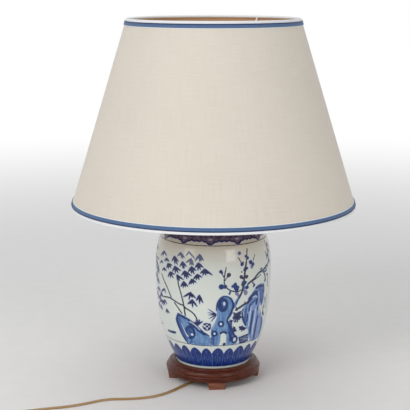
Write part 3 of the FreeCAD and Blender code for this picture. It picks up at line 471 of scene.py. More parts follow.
class LAMP_OT_lead(bpy.types.Operator):
    """Flat twin lead with its coil, tie and plug"""
    bl_idname = "lamp.lead"
    bl_label = "Twin lead"

    def execute(self, context):
        path = spline_line("lead_route", LEAD_ROUTE + [tuple(p) for p in coil_points()])
        outline = twin_section(sizes().lead_width, sizes().lead_thickness)
        lead = place_piece("twin_lead", swept_section("twin_lead", path, outline), twin_vinyl(),
                           "base", ("lead_stretch", "lead_coil"))
        black = moulded("vinyl_black_moulded", "#141414", "#1E1D1D", 0.42)
        for node in ("plug_strain_relief", "plug_body"):
            dress(node, black)
        nickel = turned_metal("brass_nickel_plated", "#C9C6BE", "#DAD8D2", 0.2)
        for node in ("plug_pin_1", "plug_pin_2"):
            dress(node, nickel)
        dress("inner_flex", moulded("vinyl_gold_inner", "#8A6A3C", "#A98753", 0.3))
        tie = place_piece("wire_tie", coil_band(), moulded("tie_paper_black", "#0E0E0E",
                                                           "#1C1C1C", 0.6), "base",
                          ("coil_tie",))
        return {"FINISHED"}


def coil_band():
    """A flat band wrapped round the bundle of turns, thicker along its middle."""
    angle = COIL_HEADING - math.pi / 2 + math.radians(118)
    spoke = Vector((math.cos(angle), math.sin(angle), 0))
    aside = Vector((-spoke.y, spoke.x, 0))
    room, corner = 0.0042, 0.0022
    inner, outer = COIL_INNER - room, COIL_OUTER + room
    low, high = 0.0005, COIL_HIGH + 0.0019
    half, edge, ridge = 0.0023, 0.0004, 0.00075
    loop = []
    for cx, cz, start in (
            (outer - corner, high - corner, 0), (inner + corner, high - corner, 90),
            (inner + corner, low + corner, 180), (outer - corner, low + corner, 270)):
        for k in range(5):
            turn = math.radians(start + 22.5 * k)
            loop.append((cx + corner * math.cos(turn), cz + corner * math.sin(turn)))
    points, faces = [], []
    for k, (r, z) in enumerate(loop):
        before, after = loop[k - 1], loop[(k + 1) % len(loop)]
        out = Vector((after[1] - before[1], before[0] - after[0])).normalized()
        for width, thick in ((-half, 0), (half, 0), (half, edge), (0, ridge), (-half, edge)):
            spot = COIL_MIDDLE + spoke * (r + out.x * thick) + aside * width
            points.append(spot + Vector((0, 0, z + out.y * thick)))
    for k in range(len(loop)):
        for j in range(5):
            a, b = k * 5 + j, k * 5 + (j + 1) % 5
            c, d = ((k + 1) % len(loop)) * 5 + (j + 1) % 5, ((k + 1) % len(loop)) * 5 + j
            faces.append((a, b, c, d))
    return outwards(mesh_of("wire_tie", points, faces))


# ---------------------------------------------------------------- painted jar

BELLY = 93.0
ROUND = 2 * math.pi * BELLY

# The painting's tones, each a signed distance that the jar's mesh carries.
TONES = ("wash", "pool", "deep", "grey", "violet", "line", "bloom", "petal", "vein", "band",
         "stem", "ink", "bare")

# Brush strokes of the garden scene, in millimetres: (round the jar at its belly, from the front
# towards +X; height above the table).
# A leaf cluster is its tone, n for ink and g for grey, its root, then the tips.
BAMBOO = [
    ('n', (-95.7, 218.9), (-104.3, 211.0), (-96.8, 212.3), (-86.3, 214.0)),
    ('g', (-55.9, 223.0), (-61.2, 217.3), (-51.4, 215.0), (-47.9, 216.7)),
    ('g', (-40.4, 226.2), (-44.4, 220.7), (-36.9, 222.9), (-30.1, 217.1)),
    ('g', (-21.9, 223.3), (-28.7, 213.6), (-21.4, 213.2), (-19.0, 214.1), (-15.6, 215.1)),
    ('n', (-67.2, 215.4), (-72.1, 208.2), (-65.2, 204.8), (-60.2, 204.8), (-58.7, 209.5)),
    ('n', (-85.6, 209.6), (-91.0, 204.7), (-78.3, 206.4), (-84.2, 205.7)),
    ('n', (-99.8, 202.9), (-104.3, 198.8), (-95.2, 200.8)),
    ('g', (-35.6, 215.8), (-44.1, 209.6), (-37.5, 206.1), (-34.1, 206.5), (-31.3, 206.8)),
    ('n', (-80.9, 202.1), (-84.0, 194.6), (-79.2, 194.1), (-72.9, 197.2), (-71.3, 201.6)),
    ('n', (-50.3, 209.3), (-55.0, 202.5), (-48.9, 199.6), (-46.6, 200.6), (-43.5, 204.0)),
    ('n', (-23.2, 210.2), (-28.4, 203.3), (-23.9, 199.8), (-20.0, 200.8), (-15.4, 204.0)),
    ('n', (-64.9, 200.4), (-69.5, 192.1), (-63.3, 190.1), (-57.8, 191.6), (-53.4, 195.7)),
    ('n', (-90.7, 193.3), (-95.9, 189.1), (-84.3, 189.9), (-89.9, 189.3)),
    ('n', (-34.4, 203.5), (-39.5, 195.5), (-34.7, 193.8), (-30.2, 193.4), (-26.9, 198.8)),
    ('n', (-45.7, 195.7), (-51.7, 188.7), (-46.2, 185.6), (-42.0, 184.6), (-39.0, 187.3),
     (-34.9, 190.1)),
    ('n', (-13.2, 201.2), (-19.9, 194.9), (-16.1, 191.9), (-11.3, 192.2), (-8.7, 194.6),
     (-2.0, 193.1)),
    ('n', (-74.8, 189.6), (-80.4, 181.6), (-74.5, 181.1), (-68.3, 182.3), (-65.3, 188.2)),
    ('n', (-24.8, 192.3), (-30.9, 185.1), (-26.7, 184.0), (-22.0, 185.0), (-17.5, 189.0)),
    ('n', (-60.3, 187.5), (-59.5, 180.7), (-54.9, 179.9), (-48.5, 182.4)),
    ('n', (-33.7, 184.0), (-38.5, 175.9), (-34.5, 177.9), (-30.7, 177.4), (-26.7, 180.2)),
    ('n', (-47.5, 178.6), (-53.2, 170.3), (-48.8, 169.3), (-44.4, 170.7), (-40.3, 172.6)),
    ('n', (-36.0, 162.5), (-48.0, 154.8), (-39.1, 151.2), (-33.4, 155.0), (-27.8, 154.6)),
    ('n', (-21.5, 159.1), (-26.7, 151.0), (-21.4, 146.6), (-16.4, 148.4)),
    ('n', (-33.5, 151.0), (-41.3, 143.9), (-37.0, 145.0), (-33.1, 139.7), (-25.8, 141.5)),
    ('n', (-111.9, 157.1), (-124.6, 151.3), (-109.4, 153.8)),
    ('n', (-90.9, 159.1), (-100.8, 153.6), (-87.7, 152.8)),
    ('n', (-122.1, 147.3), (-139.7, 135.8), (-117.3, 142.8)),
    ('n', (-102.3, 148.1), (-112.3, 140.3), (-98.4, 144.6)),
    ('n', (-105.5, 138.2), (-114.6, 131.8), (-101.4, 133.8)),
    ('n', (-92.3, 140.6), (-97.2, 131.5), (-87.0, 135.6)),
    ('n', (-109.1, 127.8), (-106.7, 125.2), (-102.4, 122.4)),
    ('n', (-88.1, 125.9), (-91.6, 121.1), (-86.2, 120.7), (-82.1, 122.5)),
    ('g', (-131.8, 221.2), (-130.2, 215.1), (-120.4, 217.9)),
    ('g', (-120.3, 204.5), (-126.5, 198.2), (-110.6, 202.7)),
    ('g', (-116.8, 195.1), (-127.8, 186.4), (-109.7, 191.6)),
    ('n', (-114.2, 184.3), (-128.4, 171.4), (-109.6, 181.0)),
]
# Stems: half width, then the points.
STEMS = [
    (0.68, (-58.6, 183.2), (-57.8, 173.2), (-55.0, 165.3), (-52.8, 157.0), (-50.6, 149.9),
     (-49.1, 141.2), (-47.9, 133.7), (-46.9, 124.2)),
    (0.68, (-98.6, 182.3), (-89.9, 171.8), (-83.8, 165.3), (-78.3, 156.3), (-74.4, 149.4)),
    (0.68, (-67.0, 141.5), (-59.8, 134.1), (-53.5, 126.7)),
    (0.68, (-95.1, 145.9), (-83.5, 147.6), (-75.4, 147.6), (-65.0, 144.2), (-54.7, 140.8),
     (-49.3, 140.5), (-45.9, 136.2), (-38.3, 133.3), (-30.9, 128.7), (-26.3, 120.3),
     (-25.6, 115.6)),
    (0.6, (58.9, 228.7), (56.9, 218.8), (54.7, 208.4)),
    (0.9, (54.7, 208.4), (52.5, 199.3), (51.2, 190.1), (50.1, 182.2), (48.6, 172.9),
     (47.4, 165.8), (45.1, 159.4), (42.1, 154.3)),
    (0.45, (41.1, 217.5), (47.2, 206.5)), (0.45, (74.1, 218.1), (69.0, 210.2)),
    (0.94, (57.4, 174.1), (63.8, 177.8), (69.9, 179.7), (76.5, 185.4), (82.7, 188.8),
     (92.2, 189.1), (100.3, 193.6), (109.4, 196.0)),
    (0.83, (93.8, 187.9), (98.9, 181.1), (100.5, 175.5), (97.6, 170.8)),
    (0.52, (20.1, 203.8), (18.5, 196.3), (17.2, 189.0), (16.9, 181.3), (17.6, 175.1),
     (24.8, 168.1), (32.7, 165.1), (39.4, 163.7), (44.5, 166.4)),
    (0.45, (12.1, 197.4), (16.4, 189.1)), (0.45, (24.5, 192.3), (20.2, 186.7), (17.2, 182.5)),
    (0.45, (65.9, 176.7), (69.5, 171.7)),
    (0.83, (37.0, 135.1), (43.0, 137.1), (48.3, 140.0), (54.0, 143.0)),
    (0.6, (111.0, 233.6), (112.0, 226.4), (113.1, 217.4)), (0.6, (104.5, 217.2), (107.4, 209.7)),
]
# Short leaves: root and tip.
SPRIGS = [
    ((-25.2, 111.8), (-28.7, 119.3)), ((-24.3, 112.0), (-22.4, 119.4)),
    ((-24.3, 112.0), (-17.0, 118.1)), ((-24.2, 111.7), (-20.0, 113.7)),
    ((5.1, 129.4), (-7.8, 137.8)), ((5.1, 129.4), (-8.9, 132.4)), ((5.1, 129.4), (-8.1, 128.2)),
    ((5.1, 129.4), (-6.8, 122.1)), ((5.1, 128.6), (-3.7, 116.8)), ((39.4, 122.1), (32.4, 124.9)),
    ((39.4, 122.1), (44.8, 117.7)), ((39.5, 122.8), (44.8, 127.7)),
    ((35.9, 121.1), (31.2, 116.0)), ((38.2, 121.3), (36.3, 114.5)),
    ((30.7, 115.2), (29.8, 109.4)), ((50.4, 134.1), (46.7, 130.5)),
    ((46.0, 131.2), (44.8, 125.7)), ((49.9, 102.4), (44.6, 104.3)), ((49.9, 102.4), (55.3, 98.0)),
    ((49.9, 102.4), (60.0, 101.7)), ((49.9, 102.4), (50.3, 98.2)), ((49.9, 102.4), (50.6, 106.4)),
    ((34.7, 105.9), (36.1, 100.9)), ((37.9, 101.7), (40.9, 97.8)),
    ((-134.4, 93.5), (-112.6, 95.8)), ((-94.3, 89.0), (-74.4, 89.9)),
]
# Tufts of leaves: tone, reach, leaves, first angle, sweep, then the roots.
TUFTS = [
    ('ink', 7.5, 6, 25, 130, (-28.5, 109.5)), ('grey', 6.5, 6, -20, 280, (42.0, 124.0)),
    ('ink', 11.0, 4, -140, 95, (-132.1, 222.9), (-131.2, 208.8), (-121.6, 200.6),
     (-114.0, 191.4), (-120.6, 179.2), (-114.2, 171.9)),
    ('ink', 8.5, 4, -140, 100, (-112.5, 157.3), (-123.8, 147.6), (-110.3, 143.8),
     (-101.5, 138.8), (-117.7, 130.6)),
    ('ink', 10.0, 3, -125, 70, (118.6, 229.3), (119.0, 219.8), (112.0, 213.2), (116.3, 204.0),
     (142.2, 222.3)),
    ('ink', 8.0, 3, -130, 80, (-102.7, 151.9), (-96.7, 138.8), (-118.6, 141.7),
     (-129.2, 150.6), (-107.5, 128.3)),
    ('grey', 4.5, 4, -150, 120, (87.8, 194.5), (96.2, 187.8), (107.5, 181.4)),
]
# Single touches of the brush: a letter of TOUCHES, the place and the radius.
BLOSSOMS = [
    ('l', 12.7, 174.0, 4.3), ('l', 18.4, 173.9, 3.3), ('i', 11.7, 198.0, 2.8),
    ('i', 13.6, 195.5, 1.7), ('s', 24.5, 192.2, 3.5), ('s', 23.0, 190.0, 2.0),
    ('l', 34.6, 176.3, 3.0), ('l', 30.9, 173.7, 2.6), ('l', 35.8, 171.2, 4.1),
    ('l', 39.0, 171.2, 2.8), ('l', 37.1, 166.4, 3.1), ('i', 39.0, 168.2, 2.0),
    ('b', 30.7, 169.6, 1.7), ('i', 26.6, 165.0, 1.7), ('i', 25.7, 162.4, 1.7),
    ('p', 37.5, 161.3, 3.1), ('p', 39.9, 158.3, 2.4), ('p', 53.7, 160.3, 3.9),
    ('p', 52.3, 163.6, 2.6), ('i', 54.4, 218.3, 2.0), ('i', 58.1, 215.2, 2.6),
    ('v', 63.7, 207.7, 3.5), ('i', 64.8, 206.6, 2.2), ('v', 67.7, 204.1, 3.3),
    ('p', 65.6, 200.4, 3.1), ('i', 61.3, 209.0, 1.7), ('b', 59.1, 203.7, 1.5),
    ('i', 46.8, 206.8, 3.0), ('g', 48.5, 209.2, 2.0), ('i', 53.2, 199.5, 3.1),
    ('s', 51.0, 197.4, 2.4), ('s', 55.6, 199.5, 2.2), ('g', 46.0, 194.9, 1.5),
    ('s', 44.9, 187.2, 3.1), ('s', 47.2, 185.0, 2.0), ('s', 54.5, 186.1, 3.1),
    ('s', 56.5, 186.8, 1.9), ('l', 49.8, 176.8, 4.1), ('s', 47.2, 174.7, 2.4),
    ('l', 53.0, 177.6, 2.2), ('l', 55.8, 169.1, 3.3), ('s', 47.7, 165.1, 2.4),
    ('w', 49.9, 169.2, 3.7), ('i', 67.5, 174.4, 1.5), ('i', 70.6, 170.5, 2.2),
    ('i', 69.4, 168.5, 1.7), ('l', 102.2, 188.5, 3.7), ('b', 101.7, 188.9, 1.3),
    ('s', 107.8, 193.7, 2.6), ('g', 43.6, 224.0, 3.0), ('l', 84.6, 165.8, 3.0),
    ('s', 49.9, 102.7, 3.7), ('i', 53.8, 100.8, 2.4), ('s', 46.1, 104.7, 1.9),
    ('s', 35.4, 104.6, 2.4), ('i', 37.0, 99.4, 1.7), ('i', 36.4, 115.8, 2.0),
    ('i', 29.7, 116.9, 2.2), ('i', 99.7, 117.2, 2.2),
]
ROCK_LEFT = [
    (-60.5, 123.7), (-65.3, 115.7), (-61.8, 104.2), (-56.5, 90.2), (-52.1, 81.6), (-47.5, 75.4),
    (-35.8, 74.6), (-20.4, 74.2), (-4.0, 74.5), (-3.8, 86.8), (-6.3, 92.7), (-11.1, 95.1),
    (-19.1, 99.8), (-28.5, 109.0), (-36.7, 115.2), (-46.7, 120.3),
]
ROCK_HOLED = [
    (5.1, 135.6), (5.5, 144.9), (9.2, 153.5), (15.1, 158.7), (23.6, 157.4), (29.9, 152.2),
    (33.6, 140.8), (30.4, 135.8), (28.8, 129.6), (23.6, 121.4), (22.1, 117.5), (26.3, 112.3),
    (32.3, 99.4), (36.7, 92.2), (44.2, 85.4), (45.4, 79.6), (42.3, 75.2), (28.0, 74.4),
    (24.1, 74.4), (22.2, 96.3), (17.3, 99.4), (12.4, 96.9), (12.2, 74.2), (-4.0, 74.4),
    (-3.1, 90.1), (-4.5, 103.0), (1.0, 113.5), (6.7, 124.6),
]
# Hollows in the rocks, and the middle of the chequered stone.
LEFT_HOLLOW, LEFT_CORE, TOP_HOLLOW, LOW_HOLLOW, SMALL_HOLLOW, RIGHT_HOLLOW, FOOT_HOLLOW, STONE = (
    (-39.9, 96.9), (-36.9, 93.1), (15.4, 144.5), (12.7, 113.2), (2.2, 96.9), (38.7, 84.3),
    (20.2, 77.6), (-10.0, 109.3))
ROCK_TALL = [
    (97.0, 167.9), (86.9, 169.8), (79.3, 168.7), (71.4, 163.6), (64.3, 155.1), (58.6, 147.6),
    (54.8, 142.7), (50.5, 137.8), (48.0, 132.1), (47.0, 124.1), (49.0, 115.1), (56.0, 105.5),
    (62.8, 100.3), (66.5, 90.0), (70.9, 80.3), (81.3, 72.7), (92.9, 73.4), (104.5, 74.4),
    (108.8, 79.9), (108.9, 93.7), (103.3, 107.2), (95.2, 115.0), (86.9, 120.5), (84.8, 132.6),
    (90.6, 134.4), (96.4, 133.0), (97.5, 143.7), (100.0, 154.7),
]
# Freer lines: tone, half width, then the points.
LINES = [
    ('line', 2.4, (75.4, 164.4), (81.6, 166.4), (93.5, 164.1)),
    ('deep', 2.6, (82.4, 161.0), (93.6, 157.8), (95.0, 147.6), (94.6, 137.8)),
    ('line', 1.9, (74.5, 159.7), (67.3, 154.9), (60.5, 149.6)),
    ('line', 1.5, (95.4, 166.6), (97.1, 159.5), (97.1, 152.9)),
    ('line', 2.5, (79.0, 158.5), (68.8, 152.3), (61.9, 147.0), (58.8, 143.3)),
    ('deep', 2.6, (79.6, 145.8), (71.7, 143.8), (65.4, 139.8)),
    ('line', 2.4, (77.9, 155.4), (79.7, 146.1), (78.2, 137.9)),
    ('bare', 0.7, (68.1, 150.2), (73.3, 152.1), (77.8, 150.8), (78.9, 147.6)),
    ('deep', 2.6, (87.0, 156.1), (89.3, 147.3), (89.0, 139.9)),
    ('line', 1.3, (92.1, 144.0), (93.5, 133.7)), ('line', 1.2, (82.7, 134.6), (82.9, 126.3)),
    ('line', 2.0, (71.3, 127.8), (70.2, 118.3), (68.9, 106.8), (70.3, 89.3)),
    ('line', 2.2, (83.3, 116.5), (82.7, 105.5), (83.0, 89.9), (86.0, 77.7)),
    ('deep', 2.6, (97.3, 111.1), (101.6, 95.6), (103.8, 80.2)),
    ('line', 1.0, (97.7, 106.9), (101.5, 93.9), (103.5, 79.6)),
    ('line', 1.5, (63.9, 140.1), (62.4, 134.7), (62.0, 129.2)),
    ('line', 1.4, (60.0, 124.6), (59.5, 118.7), (59.2, 112.4)),
    ('deep', 2.4, (56.6, 134.8), (55.0, 127.8), (54.6, 117.9), (57.1, 108.4)),
    ('line', 1.3, (48.7, 129.4), (50.2, 120.9), (52.5, 113.3), (58.0, 105.8)),
    ('bare', 0.8, (66.3, 135.7), (64.9, 126.1), (63.8, 112.9), (63.6, 102.8)),
    ('bare', 0.9, (77.1, 130.2), (76.5, 117.0), (75.3, 102.1), (77.1, 86.0)),
    ('bare', 0.5, (51.3, 129.3), (52.3, 122.4)), ('bare', 0.7, (88.5, 131.9), (88.0, 123.8)),
    ('ink', 1.2, (101.4, 131.5), (102.7, 125.5)),
    ('wash', 2.4, (42.5, 155.2), (38.7, 150.5), (36.1, 144.1), (33.0, 139.3)),
    ('line', 0.9, (43.9, 157.9), (40.2, 151.9), (37.3, 145.7)),
    ('deep', 1.4, (31.9, 143.3), (30.2, 134.3), (27.1, 125.3)),
    ('line', 1.5, (46.1, 130.5), (40.4, 128.6), (34.1, 126.7)),
    ('line', 1.6, (45.6, 120.0), (39.8, 123.4), (34.0, 121.4)),
    ('deep', 2.4, (42.6, 126.0), (37.3, 123.4)), ('ink', 1.1, (43.0, 126.6), (38.4, 119.2)),
    ('ink', 0.8, (99.6, 144.8), (103.2, 138.2), (102.3, 132.8)),
    ('ink', 0.8, (107.1, 142.4), (110.7, 134.0), (108.5, 125.5)),
    ('stem', 0.8, (87.5, 130.7), (89.8, 123.3), (94.0, 116.6)),
    ('stem', 0.7, (94.7, 131.3), (98.0, 123.6), (105.0, 114.9)),
    ('ink', 0.9, (98.5, 121.2), (97.7, 116.8), (104.0, 113.4)),
    ('ink', 0.7, (98.5, 182.2), (101.8, 173.6), (102.5, 169.0)),
    ('ink', 0.8, (110.7, 178.2), (109.3, 169.6), (111.8, 158.8)),
    ('ink', 0.7, (110.7, 147.7), (110.5, 142.1), (107.6, 137.7)),
    ('stem', 1.7, (36.4, 134.3), (41.8, 137.0), (50.2, 141.3), (56.8, 143.4), (63.0, 146.2)),
    ('stem', 0.9, (39.5, 133.2), (38.2, 137.3), (36.9, 139.6)),
    ('stem', 0.8, (53.5, 142.5), (52.1, 146.0)),
    ('stem', 0.9, (58.1, 174.1), (64.2, 177.0), (73.7, 179.7), (86.1, 184.4)),
    ('deep', 2.4, (51.9, 84.9), (59.3, 85.4), (65.5, 86.0)),
    ('deep', 2.2, (52.5, 79.5), (60.0, 80.0), (66.7, 80.4)),
    ('ink', 1.3, (47.8, 86.3), (56.1, 87.7), (66.3, 89.0)),
    ('ink', 1.2, (49.6, 81.4), (58.1, 82.8), (67.2, 83.5)),
    ('ink', 1.3, (51.3, 76.5), (60.1, 76.7), (68.5, 78.0)),
    ('ink', 1.2, (47.4, 87.1), (51.8, 76.0)), ('bare', 0.4, (55.0, 82.3), (64.9, 82.6)),
    ('ink', 1.5, (12.3, 96.5), (14.2, 99.1), (18.6, 99.5), (22.9, 96.9)),
    ('ink', 1.0, (-17.2, 109.7), (-14.0, 102.7), (-6.0, 103.3), (-3.9, 111.5), (-11.4, 114.4)),
    ('ink', 1.3, (-27.0, 116.4), (-24.5, 112.9), (-18.3, 116.4)),
    ('ink', 1.3, (-22.5, 119.4), (-24.5, 112.6), (-27.6, 110.3)),
    ('line', 1.5, (-42.5, 112.3), (-33.0, 108.1), (-23.1, 99.4), (-13.0, 94.6)),
    ('bare', 0.7, (-39.2, 115.5), (-30.6, 110.8), (-21.9, 102.3)),
    ('bare', 0.7, (-52.4, 101.4), (-49.3, 94.2), (-44.2, 88.6)),
    ('deep', 1.6, (-44.7, 85.7), (-37.3, 83.1), (-43.5, 77.2)),
    ('deep', 1.8, (-1.0, 102.4), (0.7, 88.2), (-0.4, 77.5)),
    ('ink', 2.1, (-94.9, 88.8), (-83.9, 89.1), (-73.2, 90.6)),
    ('line', 0.8, (-134.1, 94.1), (-114.0, 96.2)),
]
# Bursts of leaves: tone, half width, root, then the tips.
BURSTS = [
    ('stem', 1.1, (40.6, 126.3), (33.3, 130.2), (34.7, 124.2), (36.4, 116.5), (43.4, 117.3),
     (49.2, 120.6), (45.1, 130.5), (40.4, 114.3), (32.2, 122.1)),
    ('ink', 1.0, (51.3, 102.0), (46.4, 105.4), (46.2, 100.7), (50.9, 97.5), (55.9, 98.5),
     (55.4, 102.8), (51.5, 105.8), (59.4, 100.6)),
    ('ink', 0.8, (35.6, 101.9), (33.0, 100.0), (34.1, 107.0), (38.7, 103.0), (36.7, 98.1)),
]
TOUCHES = {"i": "ink", "l": "line", "s": "stem", "g": "grey", "p": "violet", "v": "line",
           "w": "wash", "b": "bare"}


def rounded(points, closed=False):
    """The hand's curve through a few listed points: each corner is cut twice. A point may carry
    its width as a third number."""
    for _ in range(2 if len(points) > 2 else 0):
        pairs = list(zip(points, points[1:] + points[:1] if closed else points[1:]))
        cut = [tuple(p + (q - p) * share for p, q in zip(a, b))
               for a, b in pairs for share in (0.25, 0.75)]
        points = cut if closed else [points[0]] + cut[1:-1] + [points[-1]]
    return points


FAR = 9.0


class Brush:
    """Signed distances, in millimetres, from every vertex of the jar to the strokes of each tone;
    negative inside a stroke."""

    def __init__(self, around, height, radius):
        self.around = around
        self.height = height
        self.stretch = radius / BELLY
        self.tones = {}

    def tone(self, name):
        """The distances of one tone, in millimetres; FAR where no stroke is near."""
        if name not in self.tones:
            self.tones[name] = np.full(len(self.around), FAR)
        return self.tones[name]

    def near(self, points, reach):
        """The vertices within reach of some points, with their places round the jar from the
        points' middle, their heights and how far the jar's radius stretches the belly's width."""
        us = [p[0] for p in points]
        zs = [p[1] for p in points]
        middle = (min(us) + max(us)) / 2
        u = (self.around - middle + ROUND / 2) % ROUND - ROUND / 2
        # wider round the jar, because off its belly a listed millimetre is shorter than a real one
        half = (max(us) - min(us)) / 2 + reach * 1.6
        chosen = np.nonzero((np.abs(u) < half) & (self.height > min(zs) - reach)
                            & (self.height < max(zs) + reach))[0]
        return chosen, u[chosen], self.height[chosen], self.stretch[chosen], middle

    def stroke(self, name, points, widths, belly=0.0):
        """A brush line through points with a half-width at each; belly swells its middle."""
        field = self.tone(name)
        line = rounded([(*point, width) for point, width in zip(points, widths)])
        for (*a, wa), (*b, wb) in zip(line, line[1:]):
            chosen, u, z, stretch, middle = self.near((a, b), 5.0)
            ax, az = (u - (a[0] - middle)) * stretch, z - a[1]
            bx, bz = (b[0] - a[0]) * stretch, b[1] - a[1]
            along = np.clip((ax * bx + az * bz) / (bx * bx + bz * bz + 1e-9), 0, 1)
            half = wa + (wb - wa) * along + belly * np.sqrt(
                along * (1 - along)) * (1.3 - 0.6 * along)
            far = np.hypot(ax - along * bx, az - along * bz) - half
            field[chosen] = np.minimum(field[chosen], far)

    def spot(self, name, place, across, tall=None, line=0.0):
        """An oval patch, or an oval brush line of a half width round that oval."""
        field = self.tone(name)
        tall = tall or across
        chosen, u, z, stretch, middle = self.near((place,), 3 * max(across, tall) + 4)
        x, y = (u - (place[0] - middle)) * stretch, z - place[1]
        far = (np.hypot(x / across, y / tall) - 1) * min(across, tall)
        if line:
            far = np.abs(far) - line
        field[chosen] = np.minimum(field[chosen], far)

    def wash(self, name, outline):
        """A filled outline."""
        field = self.tone(name)
        outline = rounded(outline, closed=True)
        chosen, u, z, stretch, middle = self.near(outline, 8.0)
        x, y = u * stretch, z
        far = np.full(len(chosen), 1e9)
        inside = np.zeros(len(chosen), bool)
        for a, b in zip(outline, outline[1:] + outline[:1]):
            ax, ay = (a[0] - middle) * stretch, np.full(len(chosen), a[1])
            bx, by = (b[0] - middle) * stretch, np.full(len(chosen), b[1])
            dx, dy = bx - ax, by - ay
            along = np.clip(((x - ax) * dx + (y - ay) * dy) / (dx * dx + dy * dy + 1e-9), 0, 1)
            far = np.minimum(far, np.hypot(x - ax - along * dx, y - ay - along * dy))
            cross = (ay > y) != (by > y)
            with np.errstate(divide="ignore", invalid="ignore"):
                meet = ax + (y - ay) * dx / np.where(dy == 0, 1e-9, dy)
            inside ^= cross & (x < meet)
        field[chosen] = np.minimum(field[chosen], np.where(inside, -far, far))


def garden(brush, move):
    """The garden scene: bamboo, plum, rocks and grass. move turns a listed place into one on the
    jar, so the far side can carry the same scene."""
    for tone, apex, *tips in BAMBOO:
        name = "ink" if tone == "n" else "grey"
        for tip in tips:
            long = math.dist(apex, tip)
            reach = 1.25 if long < 7.0 else 1.08
            tip = tuple(a + (b - a) * reach for a, b in zip(apex, tip))
            brush.stroke(name, [move(apex), move(tip)], [0.9, 0.25],
                         belly=min(2.2, 0.8 + long * 0.16))
        brush.spot(name, move(apex), 1.5, 1.7)
    for half, *line in STEMS:
        line = [move(p) for p in line]
        brush.stroke("stem", line, [half * 1.9] * len(line))
    for first, last in SPRIGS:
        brush.stroke("ink", [move(first), move(last)], [0.5, 0.15], belly=1.15)
    leaves = [(tone, half, root, tip) for tone, half, root, *tips in BURSTS for tip in tips]
    for tone, half, *line in LINES + leaves:
        count = len(line)
        widths = [half * (0.55 + 0.9 * math.sin(math.pi * (k + 0.6) / (count + 0.6)) / 2)
                  for k in range(count)]
        brush.stroke(tone, [move(p) for p in line], widths, belly=half * 0.35)
    for tone, reach, count, start, sweep, *roots in TUFTS:
        for place in roots:
            for k in range(count):
                turn = math.radians(start + sweep * k / (count - 1))
                tip = (place[0] + reach * math.cos(turn), place[1] + reach * math.sin(turn))
                brush.stroke(tone, [move(place), move(tip)], [0.8, 0.3], belly=reach * 0.19)
    for tone, u, z, radius in BLOSSOMS:
        brush.spot(TOUCHES[tone], move((u, z)), radius)
    rocks(brush, move)


def rocks(brush, move):
    """The three rocks with their outlines, hollows and darker sides, and the chequered stone."""
    def wash(tone, *outline):
        brush.wash(tone, [move(p) for p in outline])

    def stroke(tone, widths, *line):
        brush.stroke(tone, [move(p) for p in line], widths)

    wash("wash", *ROCK_LEFT)
    wash("wash", *ROCK_HOLED)
    wash("pool", *ROCK_TALL)
    wash("wash", *ROCK_TALL)
    wash("deep", (-60.0, 122.0), (-63.5, 115.0), (-60.0, 104.0), (-55.0, 90.5), (-50.0, 82.0),
         (-46.0, 80.0), (-50.0, 93.0), (-54.0, 108.0), (-55.0, 117.0))
    wash("deep", (27.0, 122.0), (23.6, 112.0), (26.0, 100.0), (30.0, 90.0), (35.0, 90.0),
         (33.0, 104.0), (30.0, 116.0))
    stroke("line", [1.9, 2.6, 2.3, 2.1, 1.6, 0.9], *ROCK_LEFT[:6])
    stroke("line", [0.5, 1.5, 2.1, 2.3, 2.1, 2.0, 2.6], *ROCK_LEFT[10:], ROCK_LEFT[0])
    stroke("line", [0.8, 1.1, 1.3, 1.3, 1.3, 1.5, 1.9, 1.9, 2.2], *ROCK_HOLED[:9])
    stroke("line", [2.2, 1.7, 1.4, 2.4, 2.6, 1.8, 1.3], *ROCK_HOLED[8:15])
    stroke("line", [0.7, 0.5], ROCK_HOLED[-4], ROCK_HOLED[-5])
    # hollows in the rocks: a thick ring, a darker side and a bare core
    for place, across, tall, half in (
            (LEFT_HOLLOW, 6.8, 9.4, 1.9), (TOP_HOLLOW, 6.6, 8.8, 2.1), (LOW_HOLLOW, 3.7, 4.0, 1.5),
            (SMALL_HOLLOW, 3.6, 3.8, 1.6), (RIGHT_HOLLOW, 4.1, 5.5, 1.5)):
        brush.spot("line", move(place), across, tall, line=half)
    brush.spot("deep", move(LEFT_HOLLOW), 6.0, 8.6)
    brush.spot("deep", move(TOP_HOLLOW), 6.0, 8.2)
    for place, across, tall in (
            (LEFT_CORE, 2.3, 2.2), ((17.4, 146.4), 1.8, 3.2), (LOW_HOLLOW, 1.9, 2.2),
            (SMALL_HOLLOW, 1.7, 1.9), (RIGHT_HOLLOW, 2.4, 3.6)):
        brush.spot("bare", move(place), across, tall)
    stroke("line", [1.2, 1.9, 1.3], (-42.0, 101.0), (-39.0, 96.0), (-35.5, 89.5))
    stroke("line", [1.4, 2.2, 1.3], (11.5, 147.0), (13.0, 139.0), (16.5, 137.0))
    stroke("bare", [0.3, 0.8, 0.3], (-56.5, 111.0), (-50.0, 96.0), (-46.5, 88.0))
    stroke("line", [1.6, 2.5, 1.8], (27.5, 99.0), (30.5, 91.0), (31.0, 83.0))
    brush.spot("ink", move(FOOT_HOLLOW), 2.6, 2.6)
    # small chequered stone beside the left rock: the five dark squares of three by three
    for column, row in ((-1, -1), (1, -1), (0, 0), (-1, 1), (1, 1)):
        brush.spot("ink", move((STONE[0] + column * 3.9, STONE[1] + row * 3.3)), 2.3, 1.9)


